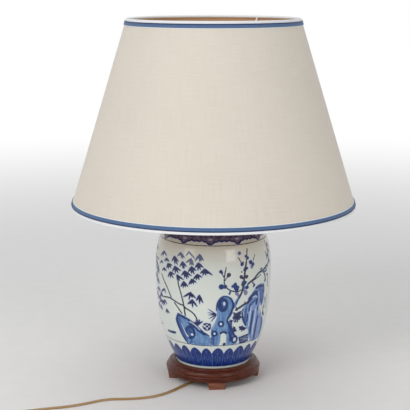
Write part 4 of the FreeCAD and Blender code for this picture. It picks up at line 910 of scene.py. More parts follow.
def petals(brush):
    """Upright lappets round the foot, with a pale vein in each and pale joints between them."""
    count, first, foot, lowest = 26, -13.2, 30.0, 34.3
    pitch = ROUND / count
    around, height = brush.around, brush.height
    field = brush.tone("petal")
    vein = brush.tone("vein")
    for k in range(count):
        middle = first + pitch * k
        wide = 16.4 if k % 2 else 14.4
        tip = 70.2 + 0.8 * math.sin(k * 2.4)
        u = (around - middle + ROUND / 2) % ROUND - ROUND / 2
        rise = np.clip((height - foot) / (tip - foot), 0, 1)
        half = wide * np.clip(1 - rise ** 2.8, 0, 1) ** 0.58
        far = np.where(height < tip, (np.abs(u) - half) * 0.75, np.hypot(u, height - tip))
        field[:] = np.minimum(field, np.maximum(far, lowest - height))
        marks = [(41, tip - 5, np.abs(u + 0.6 * math.sin(k)) - 0.4),
                 (35.5, 58.0, np.abs(np.abs(u) - pitch / 2) - 0.5)]
        # short brush marks that rise beside the vein
        for side in (-1, 1):
            for step, (low, top) in enumerate(((40.0, 56.0), (43.0, 52.0))):
                lean = side * (3.6 + 3.2 * step) + 0.9 * math.sin(3 * k + step)
                marks.append((low, top, np.abs(u - lean - side * (height - low) * 0.06) - 0.3))
        for low, top, mark in marks:
            vein[:] = np.minimum(vein, np.where((height > low) & (height < top), mark, FAR))


def cloud_band(brush):
    """Ruyi cloud heads hanging round the shoulder, and the thin ring lines above and below the
    scene."""
    count, first, lowest = 12, -5.0, 233
    pitch = ROUND / count
    u = (brush.around - first + pitch / 2) % pitch - pitch / 2
    z = brush.height
    scale = brush.stretch
    lobes = []
    for offset, low, across in ((0.0, 244.0, 6.4), (-9.0, 247.6, 6.4), (9.0, 247.6, 6.4),
                                (-20.0, 247.4, 5.6), (20.0, 247.4, 5.6)):
        lobes.append(np.hypot((u - offset) * scale, (z - low) * 1.15) - across)
    shape = np.minimum.reduce(lobes + [248.5 - z])
    core = np.hypot(u * scale / 2.4, z - 245.2) - 1.5
    curl = np.abs(np.hypot((np.abs(u) - 14.0) * scale, (z - 251.0) * 1.2) - 4.0) - 0.7
    # each mark of the band, and the height that it starts above
    for name, above, mark in (
            ("band", lowest, shape + 0.4), ("ink", lowest, np.abs(shape) - 1.25),
            ("bloom", lowest, core), ("ink", lowest, curl), ("stem", 0, np.abs(z - 236.6) - 0.62),
            ("stem", 0, np.abs(z - 75.0) - 0.58), ("line", 255, np.abs(z - 257.5) - 0.9)):
        brush.tone(name)[:] = np.minimum(brush.tone(name), np.where(z > above, mark, FAR))


def jar_outline():
    """The jar's cut through its axis: a loop of (radius, height), from the frame's own mesh."""
    shape = bmesh.new()
    shape.from_mesh(NODES["jar_body"].data)
    bmesh.ops.remove_doubles(shape, verts=shape.verts, dist=2e-6)
    cut = bmesh.ops.bisect_plane(
        shape, geom=shape.verts[:] + shape.edges[:] + shape.faces[:], plane_co=(0, 0.00001, 0),
        plane_no=(0, 1, 0), clear_outer=True, clear_inner=True)["geom_cut"]
    edges = [e for e in cut if isinstance(e, bmesh.types.BMEdge)
             and min(v.co.x for v in e.verts) > 0]
    links = {}
    for edge in edges:
        a, b = edge.verts
        links.setdefault(a, []).append(b)
        links.setdefault(b, []).append(a)
    start = max(links, key=lambda v: v.co.x)
    chain, before = [start], None
    while True:
        ahead = [v for v in links[chain[-1]] if v is not before and v is not chain[-1]]
        before = chain[-1]
        if not ahead or ahead[0] is start:
            break
        chain.append(ahead[0])
    line = [(v.co.x, v.co.z) for v in chain]
    shape.free()
    if line[1][1] < line[0][1]:
        line.reverse()
        line = line[-1:] + line[:-1]
    return line


def fine_cells(fields, rows, columns):
    """Cells of the painted grid as (row, column, size): 4 steps wide where every tone changes
    evenly, 2 or 1 where a brush line is thin or bends. A tone changes evenly where the straight
    mix of a cell's corners stays within tolerance of it near the edge of a stroke."""
    reach, edge, tolerance = 1.6, 0.55, 0.24
    near = np.stack([np.clip(field, -reach, reach) for field in fields])
    near = near.reshape(len(fields), rows + 1, columns)
    near = np.concatenate([near, near[:, :, :1]], axis=2).astype(np.float32)
    cells = []
    wanted = np.ones((rows // 4, columns // 4), bool)
    for size in (4, 2):
        high, wide = rows // size, columns // size
        corners = near[:, ::size, ::size]
        a, b = corners[:, :-1, :-1], corners[:, :-1, 1:]
        c, d = corners[:, 1:, :-1], corners[:, 1:, 1:]
        worst = np.zeros((high, wide), np.float32)
        for i in range(size + 1):
            for j in range(size + 1):
                s, t = i / size, j / size
                guess = (a * (1 - t) + b * t) * (1 - s) + (c * (1 - t) + d * t) * s
                real = near[:, i:i + (high - 1) * size + 1:size, j:j + (wide - 1) * size + 1:size]
                gap = np.where(np.minimum(np.abs(real), np.abs(guess)) < edge,
                               np.abs(real - guess), 0).max(axis=0)
                worst = np.maximum(worst, gap)
        even = worst < tolerance
        cells += [(r * size, c * size, size) for r, c in np.argwhere(wanted & even)]
        wanted = np.repeat(np.repeat(wanted & ~even, 2, axis=0), 2, axis=1)
    cells += [(r, c, 1) for r, c in np.argwhere(wanted)]
    return cells


# Heights between which the jar's outside is painted, the least step between the plain rings
# elsewhere, and how many of the finest columns make one column of a plain ring: metres.
PAINT_LOW, PAINT_HIGH = 0.0325, 0.2625
RING_STEP = 0.0012
COARSE = 8


def painted_jar_mesh(columns):
    """The jar as a closed shell that carries one signed distance per tone at each vertex. Its
    painted outside is finest along thin brush lines; the neck, the inside and the foot are
    plain rings."""
    line = jar_outline()
    highest = next(k for k, (r, z) in enumerate(line) if z > PAINT_HIGH)
    lowest = next(k for k in range(len(line) - 1, 0, -1) if line[k][1] < PAINT_LOW)
    outside = line[lowest + 1:] + line[:highest]
    plain = [line[highest]]
    for spot in line[highest + 1:lowest]:
        if math.dist(spot, plain[-1]) > RING_STEP:
            plain.append(spot)
    plain.append(line[lowest])
    run = [0.0]
    for a, b in zip(outside, outside[1:]):
        run.append(run[-1] + math.dist(a, b))
    rows = 4 * round(run[-1] / (ROUND / 1000 / columns) / 4)
    at = np.linspace(0, run[-1], rows + 1)
    radius = np.interp(at, run, [p[0] for p in outside])
    height = np.interp(at, run, [p[1] for p in outside])

    around = (np.arange(columns) / columns * ROUND + ROUND / 2) % ROUND - ROUND / 2
    brush = Brush(np.tile(around, rows + 1), np.repeat(height, columns) * 1000,
                  np.repeat(radius, columns) * 1000)
    garden(brush, lambda p: p)
    garden(brush, lambda p: (p[0] + ROUND / 2, p[1] + 1.5 * math.sin(p[0] / 40)))
    petals(brush)
    cloud_band(brush)
    fields = {name: np.clip(brush.tone(name), -6, FAR) for name in TONES}
    cells = fine_cells(list(fields.values()), rows, columns)

    used = np.zeros((rows + 1, columns), bool)
    for row, column, size in cells:
        for r, c in ((row, column), (row, column + size), (row + size, column),
                     (row + size, column + size)):
            used[r, c % columns] = True
    spots = np.argwhere(used)
    index = np.full((rows + 1, columns), -1)
    index[used] = np.arange(len(spots))
    faces = []
    for row, column, size in cells:
        edge = [(row, column + k) for k in range(size)]
        edge += [(row + k, column + size) for k in range(size)]
        edge += [(row + size, column + size - k) for k in range(size)]
        edge += [(row + size - k, column) for k in range(size)]
        numbers = [index[r, c % columns] for r, c in edge]
        faces.append([int(n) for n in numbers if n >= 0])

    turn = -math.pi / 2 + 2 * math.pi * spots[:, 1] / columns
    r, z = radius[spots[:, 0]], height[spots[:, 0]]
    points = list(zip(r * np.cos(turn), r * np.sin(turn), z))
    lean = np.arctan2(-np.gradient(radius), np.gradient(height))[spots[:, 0]]
    normals = list(zip(np.cos(lean) * np.cos(turn), np.cos(lean) * np.sin(turn), np.sin(lean)))
    few = columns // COARSE
    base = len(points)
    loop = [outside[-1]] + plain + [outside[0]]
    for before, (r, z), after in zip(loop, plain, loop[2:]):
        out = Vector((after[1] - before[1], before[0] - after[0])).normalized()
        for j in range(few):
            a = -math.pi / 2 + 2 * math.pi * j / few
            points.append((r * math.cos(a), r * math.sin(a), z))
            normals.append((out.x * math.cos(a), out.x * math.sin(a), out.y))
    for k in range(len(plain) - 1):
        for j in range(few):
            a, b = base + k * few + j, base + k * few + (j + 1) % few
            faces.append((a, b, b + few, a + few))
    last = base + (len(plain) - 1) * few
    for j in range(few):
        after = (j + 1) % few
        top = [int(index[rows, (j * COARSE + i) % columns]) for i in range(COARSE + 1)]
        faces.append([n for n in top if n >= 0] + [base + after, base + j])
        low = [int(index[0, (j * COARSE + i) % columns]) for i in range(COARSE, -1, -1)]
        faces.append([n for n in low if n >= 0] + [last + j, last + after])

    mesh = mesh_of("painted_jar", points, faces)
    for name, field in fields.items():
        values = np.full(len(points), FAR, np.float32)
        values[:base] = field.reshape(rows + 1, columns)[used]
        mesh.attributes.new(name, "FLOAT", "POINT").data.foreach_set("value", values)
    mesh.shade_smooth()
    mesh.normals_split_custom_set_from_vertices(normals)
    return mesh


def painted_glaze():
    # Blue-and-white porcelain: cobalt oxide brushed on the raw body and fired under a clear glaze
    # with a faint green cast. The strokes pool darker and lighter, bleed a little into the glaze,
    # and lie under an even, wet-looking gloss.
    material, tree, shader = finish("porcelain_underglaze_cobalt", Roughness=0.4, IOR=1.52,
                                    Specular_IOR_Level=0.1, Coat_Weight=0.75, Coat_Roughness=0.1)
    where = add(tree, "ShaderNodeTexCoord").outputs["Object"]
    field = {name: add(tree, "ShaderNodeAttribute", attribute_name=name).outputs["Fac"]
             for name in TONES}

    # brush hairs leave an edge that wanders by a third of a millimetre
    hairs = add(tree, "ShaderNodeTexNoise", {"Vector": where, "Scale": 700.0, "Detail": 2.0})
    ragged = add(tree, "ShaderNodeMapRange", {0: hairs.outputs[0], 1: 0.3, 2: 0.7, 3: -0.3,
                                              4: 0.3}).outputs[0]
    # a loaded brush leaves streaks some 20 mm long and 3 mm apart, leaning to one side
    sweep = add(tree, "ShaderNodeMapping", {"Vector": where, "Rotation": (0.0, 0.35, 0.0),
                                            "Scale": (300.0, 300.0, 60.0)})
    pools = add(tree, "ShaderNodeTexNoise", {"Vector": sweep.outputs[0], "Scale": 1.0,
                                             "Detail": 4.0})
    pools = add(tree, "ShaderNodeMapRange", {0: pools.outputs[0], 1: 0.32,
                                             2: 0.68}).outputs[0]
    clouds = add(tree, "ShaderNodeTexNoise", {"Vector": where, "Scale": 14.0, "Detail": 2.0})

    # painted shade: from 190 to 250 mm up, the glaze turns a darker, warmer grey (#C3BFB2),
    # standing in for the lampshade's shadow on the jar's shoulder
    apart = add(tree, "ShaderNodeSeparateXYZ", {0: where})
    high = add(tree, "ShaderNodeMapRange", {0: apart.outputs[2], 1: 0.19, 2: 0.25},
               interpolation_type="SMOOTHSTEP")
    cool = add(tree, "ShaderNodeMix", {0: clouds.outputs[0], 6: tuple(colours().glaze),
                                       7: linear("#DCE1D8")}, data_type="RGBA")
    tone = add(tree, "ShaderNodeMix", {0: high.outputs[0], 6: cool.outputs[2],
                                       7: linear("#C3BFB2")}, data_type="RGBA").outputs[2]

    def brushed(below, name, light, dark, soft=0.3, strength=1.0, rough=True):
        """One tone of cobalt over what is below it."""
        edge = field[name]
        if rough:
            edge = add(tree, "ShaderNodeMath", {0: edge, 1: ragged}, operation="ADD").outputs[0]
        cover = add(tree, "ShaderNodeMapRange", {0: edge, 1: soft, 2: -soft, 3: 0.0,
                                                 4: strength}, interpolation_type="SMOOTHSTEP")
        colour = add(tree, "ShaderNodeMix", {0: pools, 6: light, 7: dark}, data_type="RGBA")
        return add(tree, "ShaderNodeMix", {0: cover.outputs[0], 6: below, 7: colour.outputs[2]},
                   data_type="RGBA").outputs[2]

    nearest = add(tree, "ShaderNodeMath", {0: field["ink"], 1: field["line"]},
                  operation="MINIMUM")
    bleed = add(tree, "ShaderNodeMapRange", {0: nearest.outputs[0], 1: 2.6, 2: 0.0, 3: 0.0,
                                             4: 0.5}, interpolation_type="SMOOTHSTEP")
    tone = add(tree, "ShaderNodeMix", {0: bleed.outputs[0], 6: tone, 7: linear("#B4C2E2")},
               data_type="RGBA").outputs[2]
    navy = tuple(colours().navy)
    cobalt = tuple(colours().cobalt)
    tone = brushed(tone, "wash", linear("#7FA2C8"), linear("#4C76AC"), soft=0.8)
    tone = brushed(tone, "pool", linear("#6286C2"), linear("#92ABD8"), soft=0.8)
    # a second, darker pass of the brush follows the outline a few millimetres inside it
    second = add(tree, "ShaderNodeMath", {0: field["wash"], 1: 4.0}, operation="ADD")
    second = add(tree, "ShaderNodeMath", {0: second.outputs[0]}, operation="ABSOLUTE")
    second = add(tree, "ShaderNodeMapRange", {0: second.outputs[0], 1: 1.5, 2: 0.0, 3: 0.0,
                                              4: 0.6}, interpolation_type="SMOOTHSTEP")
    tone = add(tree, "ShaderNodeMix", {0: second.outputs[0], 6: tone, 7: linear("#4468A6")},
               data_type="RGBA").outputs[2]
    tone = brushed(tone, "deep", linear("#365A98"), linear("#234384"), soft=1.1, strength=0.85)
    tone = brushed(tone, "grey", linear("#3F4D80"), linear("#2B3768"), strength=0.92)
    tone = brushed(tone, "violet", linear("#7673A4"), linear("#5C5890"), strength=0.9)
    tone = brushed(tone, "line", linear("#22427F"), linear("#112862"), soft=0.45)
    tone = brushed(tone, "petal", linear("#1A3B8C"), cobalt, soft=0.35)
    within = add(tree, "ShaderNodeMapRange", {0: field["petal"], 1: -0.6, 2: -1.2})
    veined = brushed(tone, "vein", linear("#7A97CC"), linear("#4A6AB0"), soft=0.35,
                     strength=0.85)
    tone = add(tree, "ShaderNodeMix", {0: within.outputs[0], 6: tone, 7: veined},
               data_type="RGBA").outputs[2]
    tone = brushed(tone, "band", linear("#6B6178"), linear("#433B50"), soft=0.5)
    tone = brushed(tone, "bloom", linear("#8D93B8"), linear("#B5B8CE"), soft=0.6, strength=0.8)
    tone = brushed(tone, "stem", linear("#3B465C"), linear("#1E2744"))
    tone = brushed(tone, "ink", linear("#232E66"), navy)
    tone = brushed(tone, "bare", linear("#C9D3E6"), linear("#D5DDE4"), soft=0.4, rough=False)
    tree.links.new(tone, shader.inputs["Base Color"])

    # the slight orange peel of the glaze, 11 mm across
    peel = add(tree, "ShaderNodeTexNoise", {"Vector": where, "Scale": 90.0, "Detail": 2.0})
    bump = add(tree, "ShaderNodeBump", {"Height": peel.outputs[0], "Strength": 0.06,
                                        "Distance": 0.0012})
    tree.links.new(bump.outputs[0], shader.inputs["Normal"])
    tree.links.new(bump.outputs[0], shader.inputs["Coat Normal"])
    return material


class LAMP_OT_jar(bpy.types.Operator):
    """Porcelain jar with its painting"""
    bl_idname = "lamp.jar"
    bl_label = "Painted jar"

    def execute(self, context):
        mesh = painted_jar_mesh(sizes().jar_columns)
        place_piece("painted_jar", mesh, painted_glaze(), "base", ("jar_body",),
                    smooth=False)
        return {"FINISHED"}


# ---------------------------------------------------------------- wooden stand

def polished_wood(name, dark, warm, light, gloss=0.3):
    # Dense hardwood, turned and French-polished: red-brown, darker and warmer in bands along X,
    # with lighter streaks of pores in them, under a glossy film.
    material, tree, shader = finish(name, Roughness=gloss, IOR=1.5, Specular_IOR_Level=0.15,
                                    Coat_Weight=0.16, Coat_Roughness=0.14)
    where = add(tree, "ShaderNodeTexCoord").outputs["Object"]
    # pores: streaks 60 mm long, 2 mm apart; bands: 200 mm long, 17 mm apart
    long = add(tree, "ShaderNodeMapping", {"Vector": where, "Scale": (16.0, 420.0, 420.0)})
    pores = add(tree, "ShaderNodeTexNoise", {"Vector": long.outputs[0], "Scale": 1.0,
                                             "Detail": 4.0, "Distortion": 0.4})
    bands = add(tree, "ShaderNodeMapping", {"Vector": where, "Scale": (5.0, 60.0, 60.0)})
    years = add(tree, "ShaderNodeTexNoise", {"Vector": bands.outputs[0], "Scale": 1.0,
                                             "Detail": 2.0, "Distortion": 1.5})
    tone = add(tree, "ShaderNodeMix", {0: years.outputs[0], 6: dark, 7: warm},
               data_type="RGBA")
    streak = add(tree, "ShaderNodeMapRange", {0: pores.outputs[0], 1: 0.35, 2: 0.75})
    tone = add(tree, "ShaderNodeMix", {0: streak.outputs[0], 6: tone.outputs[2], 7: light},
               data_type="RGBA")
    tree.links.new(tone.outputs[2], shader.inputs["Base Color"])
    rough = add(tree, "ShaderNodeMapRange", {0: pores.outputs[0], 3: gloss - 0.06,
                                             4: gloss + 0.16})
    tree.links.new(rough.outputs[0], shader.inputs["Roughness"])
    bump = add(tree, "ShaderNodeBump", {"Height": pores.outputs[0], "Strength": 0.12,
                                        "Distance": 0.0004})
    tree.links.new(bump.outputs[0], shader.inputs["Normal"])
    return material


class LAMP_OT_stand(bpy.types.Operator):
    """Polish of the turned stand and its feet"""
    bl_idname = "lamp.stand"
    bl_label = "Wooden stand"

    def execute(self, context):
        dress("wooden_stand", polished_wood("hardwood_turned_polished", linear("#230B05"),
                                            tuple(colours().wood), linear("#6A3018")))
        foot = polished_wood("hardwood_foot_polished", linear("#5A2E20"), linear("#784A36"),
                             linear("#93634C"), 0.4)
        for side in ("front", "right", "back", "left"):
            dress("stand_foot_" + side, foot)
        return {"FINISHED"}


# ---------------------------------------------------------------- metal fittings and bulb

def thread_lines(material, pitch, depth):
    """Adds the ridges of a thread, whose pitch lies along Z, to a metal finish."""
    tree = material.node_tree
    shader = tree.nodes["Principled BSDF"]
    where = add(tree, "ShaderNodeTexCoord").outputs["Object"]
    ridges = add(tree, "ShaderNodeTexWave", {"Vector": where, "Scale": 0.1 * math.pi / pitch},
                 bands_direction="Z", wave_profile="SIN")
    before = shader.inputs["Normal"].links[0].from_socket
    bump = add(tree, "ShaderNodeBump", {"Height": ridges.outputs[1], "Strength": 1.0,
                                        "Distance": depth, "Normal": before})
    tree.links.new(bump.outputs[0], shader.inputs["Normal"])
    return material


def threaded_sleeve():
    """The lampholder's sleeve, with the thread that carries the clamp rings cut into its
    outside."""
    low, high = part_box("holder_sleeve")
    foot, top, outer = low[2], high[2], high[0]
    pitch, depth, columns, steps = 0.0025, 0.0006, 96, 8
    wall, mouth, lip = 0.0012, 0.0152, 0.001
    first, last = foot + 0.0012, top - 0.0022
    rows = steps * round((last - first) / pitch)
    # up the outside, over the mouth and down the inside: radius, height, share of the depth
    profile = [(outer, foot, 0)]
    profile += [(outer, first + (last - first) * row / rows,
                 min(1, row / steps, (rows - row) / steps)) for row in range(rows + 1)]
    profile += [(outer, top - 0.0007, 0), (outer - 0.0002, top - 0.0002, 0),
                (outer - 0.0007, top, 0), (mouth, top, 0), (mouth, top - lip, 0),
                (outer - wall, top - lip, 0), (outer - wall, foot, 0)]
    points, faces = [], []
    for k, (radius, height, share) in enumerate(profile):
        after = (k + 1) % len(profile)
        for column in range(columns):
            turn = 2 * math.pi * column / columns
            wave = 0.5 - 0.5 * math.cos(2 * math.pi * (height - first) / pitch - turn)
            r = radius - depth * share * wave
            points.append((r * math.cos(turn), r * math.sin(turn), height))
            beside = (column + 1) % columns
            faces.append((k * columns + column, k * columns + beside,
                          after * columns + beside, after * columns + column))
    return mesh_of("threaded_sleeve", points, faces)


class LAMP_OT_fittings(bpy.types.Operator):
    """Brass cap, tube and lampholder, the rod with its nut, and the switch"""
    bl_idname = "lamp.fittings"
    bl_label = "Metal fittings"

    def execute(self, context):
        brass = turned_metal("brass_turned_lacquered", "#A9843F", "#C9A65C", 0.26)
        for node in ("vase_cap", "neck_tube", "holder_cap", "centre_contact",
                     "shade_ring_lower", "shade_ring_upper"):
            dress(node, brass)
        sleeve = place_piece("threaded_sleeve", threaded_sleeve(), brass, "base",
                             ("holder_sleeve",))
        sleeve.data.set_sharp_from_angle(angle=math.radians(40))
        threaded = thread_lines(turned_metal("brass_threaded", "#A9843F", "#C6A258", 0.3),
                                0.0018, 0.0006)
        dress("screw_shell", threaded)
        zinc = turned_metal("steel_zinc_plated", "#9DA1A4", "#B9BCBE", 0.34)
        for node in ("stand_steel_washer", "stand_hex_nut", "holder_grub_screw",
                     "terminal_screws", "switch_spindle", "bulb_contact"):
            dress(node, zinc)
        dress("threaded_rod", thread_lines(turned_metal("steel_threaded_zinc", "#9A9DA0",
                                                        "#B2B5B7", 0.34), 0.001, 0.0005))
        dress("stand_rubber_washer", moulded("rubber_black_moulded", "#161616", "#1F1F1F", 0.75))
        dress("lead_bushing", moulded("nylon_black_moulded", "#171717", "#202020", 0.5))
        dress("holder_insulator", moulded("steatite_white_glazed", "#DDD9CE", "#E9E6DD", 0.2))
        phenolic = moulded("phenolic_black_moulded", "#17110E", "#221A15", 0.22, 300.0)
        dress("switch_block", phenolic)
        dress("switch_knob", phenolic)
        return {"FINISHED"}


def mottled(name, dark, light, scale, detail, strength, depth, **sockets):
    """A finish whose tone and relief follow the same fine noise."""
    material, tree, shader = finish(name, **sockets)
    where = add(tree, "ShaderNodeTexCoord").outputs["Object"]
    noise = add(tree, "ShaderNodeTexNoise", {"Vector": where, "Scale": scale, "Detail": detail})
    tone = add(tree, "ShaderNodeMix", {0: noise.outputs[0], 6: dark, 7: light},
               data_type="RGBA")
    tree.links.new(tone.outputs[2], shader.inputs["Base Color"])
    bump = add(tree, "ShaderNodeBump", {"Height": noise.outputs[0], "Strength": strength,
                                        "Distance": depth})
    tree.links.new(bump.outputs[0], shader.inputs["Normal"])
    return material


def blown_glass():
    # Clear soda-lime glass, blown thin: almost nothing but edge darkening and small highlights.
    # Waves about 30 mm apart.
    return mottled("glass_soda_lime_blown", linear("#F7FAFA"), linear("#FFFFFF"), 35.0, 1.0,
                   0.03, 0.001, Roughness=0.0, IOR=1.45, Transmission_Weight=1.0)


def coiled_filament():
    """The coiled wire between the two supports, a little slack in its middle."""
    low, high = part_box("filament")
    half = (high[0] - low[0]) / 2
    coil, wire = 0.0004, 0.00009
    margin = 0.00045
    rise = high[2] - low[2] - 2 * margin
    turns, per_turn = 44, 10
    path = []
    for k in range(turns * per_turn + 1):
        along = k / (turns * per_turn)
        x = -half + 2 * half * along
        z = low[2] + margin + rise * math.sin(math.pi * along)
        angle = 2 * math.pi * k / per_turn
        path.append(Vector((x, coil * math.cos(angle), z + coil * math.sin(angle))))
    ring = [(wire * math.cos(math.pi / 2 * k), wire * math.sin(math.pi / 2 * k))
            for k in range(4)]
    return outwards(swept_section("coiled_filament", path, ring))


class LAMP_OT_bulb(bpy.types.Operator):
    """Clear filament bulb with its rolled cap"""
    bl_idname = "lamp.bulb"
    bl_label = "Bulb"

    def execute(self, context):
        glass = blown_glass()
        dress("bulb_glass", glass)
        dress("bulb_stem", glass)
        dress("bulb_cap", thread_lines(turned_metal("aluminium_rolled", "#B5B6B6", "#C9CACA",
                                                    0.3), 0.0036, 0.0011))
        dress("bulb_cap_insulator", moulded("vitrite_black_pressed", "#0B0B0E", "#15151A", 0.12))
        wire = turned_metal("molybdenum_drawn", "#6D6C6A", "#8A8987", 0.35)
        dress("filament_supports", wire)
        place_piece("coiled_filament", coiled_filament(), wire, "bulb",
                    ("filament",))
        return {"FINISHED"}


# ---------------------------------------------------------------- shade

LAP_TURN = math.radians(57)
LAP_WIDTH = 0.012
LAP_LIFT = 0.00042


def cone_radius(height):
    """Outside radius of the shade's fabric."""
    share = (height - SHADE_LOW) / (SHADE_TOP - SHADE_LOW)
    return SHADE_LOW_R + (SHADE_TOP_R - SHADE_LOW_R) * share


def fabric_cone():
    """The fabric as one sheet round the cone, its end lapped over its start. The UV map is the
    flat cut: metres round the lower edge and up the slope."""
    columns, rows, thick = 320, 40, 0.0005
    angles = [2 * math.pi * k / columns for k in range(columns)]
    proud = []
    for a in angles:
        proud.append(LAP_LIFT * max(0.0, 1 - a * SHADE_LOW_R / LAP_WIDTH))
    slope = math.hypot(SHADE_TOP - SHADE_LOW, SHADE_LOW_R - SHADE_TOP_R)
    points, faces = [], []
    for outer in (True, False):
        for k in range(rows + 1):
            z = SHADE_LOW + (SHADE_TOP - SHADE_LOW) * k / rows
            for a, lift in zip(angles, proud):
                r = cone_radius(z) + (lift if outer else -thick)
                points.append((r * math.cos(a + LAP_TURN), r * math.sin(a + LAP_TURN), z))
    shell = (rows + 1) * columns
    for k in range(rows):
        for j in range(columns):
            a, b = k * columns + j, k * columns + (j + 1) % columns
            faces.append((a, b, b + columns, a + columns))
            c, d = a + shell, b + shell
            faces.append((c, c + columns, d + columns, d))
    for j in range(columns):
        b = (j + 1) % columns
        faces.append((shell + j, shell + b, b, j))
        top = rows * columns
        faces.append((top + j, top + b, shell + top + b, shell + top + j))
    mesh = mesh_of("fabric_cone", points, faces)
    layer = mesh.uv_layers.new(name="flat_cut")
    around = 2 * math.pi * SHADE_LOW_R
    for face in mesh.polygons:
        spots = [mesh.loops[c].vertex_index % shell for c in face.loop_indices]
        across = [spot % columns for spot in spots]
        wraps = max(across) == columns - 1 and min(across) == 0
        for corner, spot in zip(face.loop_indices, spots):
            row, column = divmod(spot, columns)
            if wraps and column == 0:
                column = columns
            layer.data[corner].uv = (around * column / columns, slope * row / rows)
    return mesh


def shade_cloth():
    # Ivory polycotton laminated to a stiff foil: matt, a fine plain weave, with now and then a
    # thicker thread that catches the light. Threads of 0.3 mm are too fine to show, so they are
    # drawn about 1 mm apart.
    material, tree, shader = finish("polycotton_laminated_woven", Roughness=0.82, IOR=1.45,
                                    Sheen_Weight=0.12, Sheen_Roughness=0.6,
                                    Specular_IOR_Level=0.3)
    cut = add(tree, "ShaderNodeUVMap", uv_map="flat_cut").outputs[0]
    spacing = sizes().thread_spacing
    threads = {"Vector": cut, "Scale": 0.1 * math.pi / spacing, "Distortion": 0.5, "Detail": 1.0,
               "Detail Scale": 1.5}
    rise = add(tree, "ShaderNodeTexWave", threads, bands_direction="X")
    run = add(tree, "ShaderNodeTexWave", threads, bands_direction="Y")
    weave = add(tree, "ShaderNodeMath", {0: rise.outputs[1], 1: run.outputs[1]},
                operation="MULTIPLY")
    # slubs: thick places in the threads, 40 mm long and 1 mm wide, both ways of the cloth
    tall = add(tree, "ShaderNodeMapping", {"Vector": cut, "Scale": (850.0, 22.0, 1.0)})
    wide = add(tree, "ShaderNodeMapping", {"Vector": cut, "Scale": (22.0, 850.0, 1.0)})
    warp = add(tree, "ShaderNodeTexNoise", {"Vector": tall.outputs[0], "Scale": 1.0,
                                            "Detail": 2.0})
    weft = add(tree, "ShaderNodeTexNoise", {"Vector": wide.outputs[0], "Scale": 1.0,
                                            "Detail": 2.0})
    slubs = add(tree, "ShaderNodeMath", {0: warp.outputs[0], 1: weft.outputs[0]},
                operation="ADD")
    uneven = add(tree, "ShaderNodeTexNoise", {"Vector": cut, "Scale": 7.0, "Detail": 3.0})
    dark = linear("#D6CDBF")
    tone = add(tree, "ShaderNodeMapRange", {0: slubs.outputs[0], 1: 0.75, 2: 1.25})
    tone = add(tree, "ShaderNodeMix", {0: tone.outputs[0], 6: dark,
                                       7: tuple(colours().fabric)}, data_type="RGBA")
    fading = add(tree, "ShaderNodeMapRange", {0: uneven.outputs[0], 1: 0.3, 2: 0.7, 3: 0.0,
                                              4: 0.25})
    tone = add(tree, "ShaderNodeMix", {0: fading.outputs[0], 6: tone.outputs[2],
                                       7: linear("#E6DED0")}, data_type="RGBA")
    tree.links.new(tone.outputs[2], shader.inputs["Base Color"])
    relief = add(tree, "ShaderNodeMath", {0: slubs.outputs[0], 1: weave.outputs[0]},
                 operation="ADD")
    bump = add(tree, "ShaderNodeBump", {"Height": relief.outputs[0], "Strength": 0.25,
                                        "Distance": 0.0003})
    tree.links.new(bump.outputs[0], shader.inputs["Normal"])
    return material


def shade_backing():
    # Golden paper-backed foil, laminated: satin, faintly mottled in patches of 45 mm, with the
    # weave of the cloth, 0.9 mm, just telling through.
    material, tree, shader = finish("lining_laminated_tan", Roughness=0.55, IOR=1.5)
    where = add(tree, "ShaderNodeTexCoord").outputs["Object"]
    mottle = add(tree, "ShaderNodeTexNoise", {"Vector": where, "Scale": 22.0, "Detail": 5.0})
    tone = add(tree, "ShaderNodeMix", {0: mottle.outputs[0], 6: linear("#C79C74"),
                                       7: tuple(colours().lining)}, data_type="RGBA")
    tree.links.new(tone.outputs[2], shader.inputs["Base Color"])
    fine = add(tree, "ShaderNodeTexNoise", {"Vector": where, "Scale": 1100.0, "Detail": 1.0})
    bump = add(tree, "ShaderNodeBump", {"Height": fine.outputs[0], "Strength": 0.1,
                                        "Distance": 0.0002})
    tree.links.new(bump.outputs[0], shader.inputs["Normal"])
    return material


def white_enamel():
    # Steel wire dipped in white enamel: thick, glossy, a little uneven, in runs some 8 mm long.
    return mottled("steel_wire_enamelled_white", linear("#DEDAD0"), linear("#ECE9E2"), 120.0, 3.0,
                   0.2, 0.0004, Roughness=0.3, IOR=1.5)


def edging_tape():
    # White grosgrain ribbon glued over the edge: ribs 0.9 mm apart along it, soft and matt.
    material, tree, shader = finish("grosgrain_white_woven", Roughness=0.78, IOR=1.45,
                                    Sheen_Weight=0.15)
    where = add(tree, "ShaderNodeTexCoord").outputs["Object"]
    ribs = add(tree, "ShaderNodeTexWave", {"Vector": where, "Scale": 0.1 * math.pi / 0.0009},
               bands_direction="Z")
    soft = add(tree, "ShaderNodeTexNoise", {"Vector": where, "Scale": 400.0, "Detail": 3.0})
    tone = add(tree, "ShaderNodeMix", {0: soft.outputs[0], 6: linear("#DFE2E4"),
                                       7: linear("#F2F3F2")}, data_type="RGBA")
    tree.links.new(tone.outputs[2], shader.inputs["Base Color"])
    relief = add(tree, "ShaderNodeMath", {0: ribs.outputs[1], 1: soft.outputs[0]},
                 operation="ADD")
    bump = add(tree, "ShaderNodeBump", {"Height": relief.outputs[0], "Strength": 0.25,
                                        "Distance": 0.0002})
    tree.links.new(bump.outputs[0], shader.inputs["Normal"])
    return material


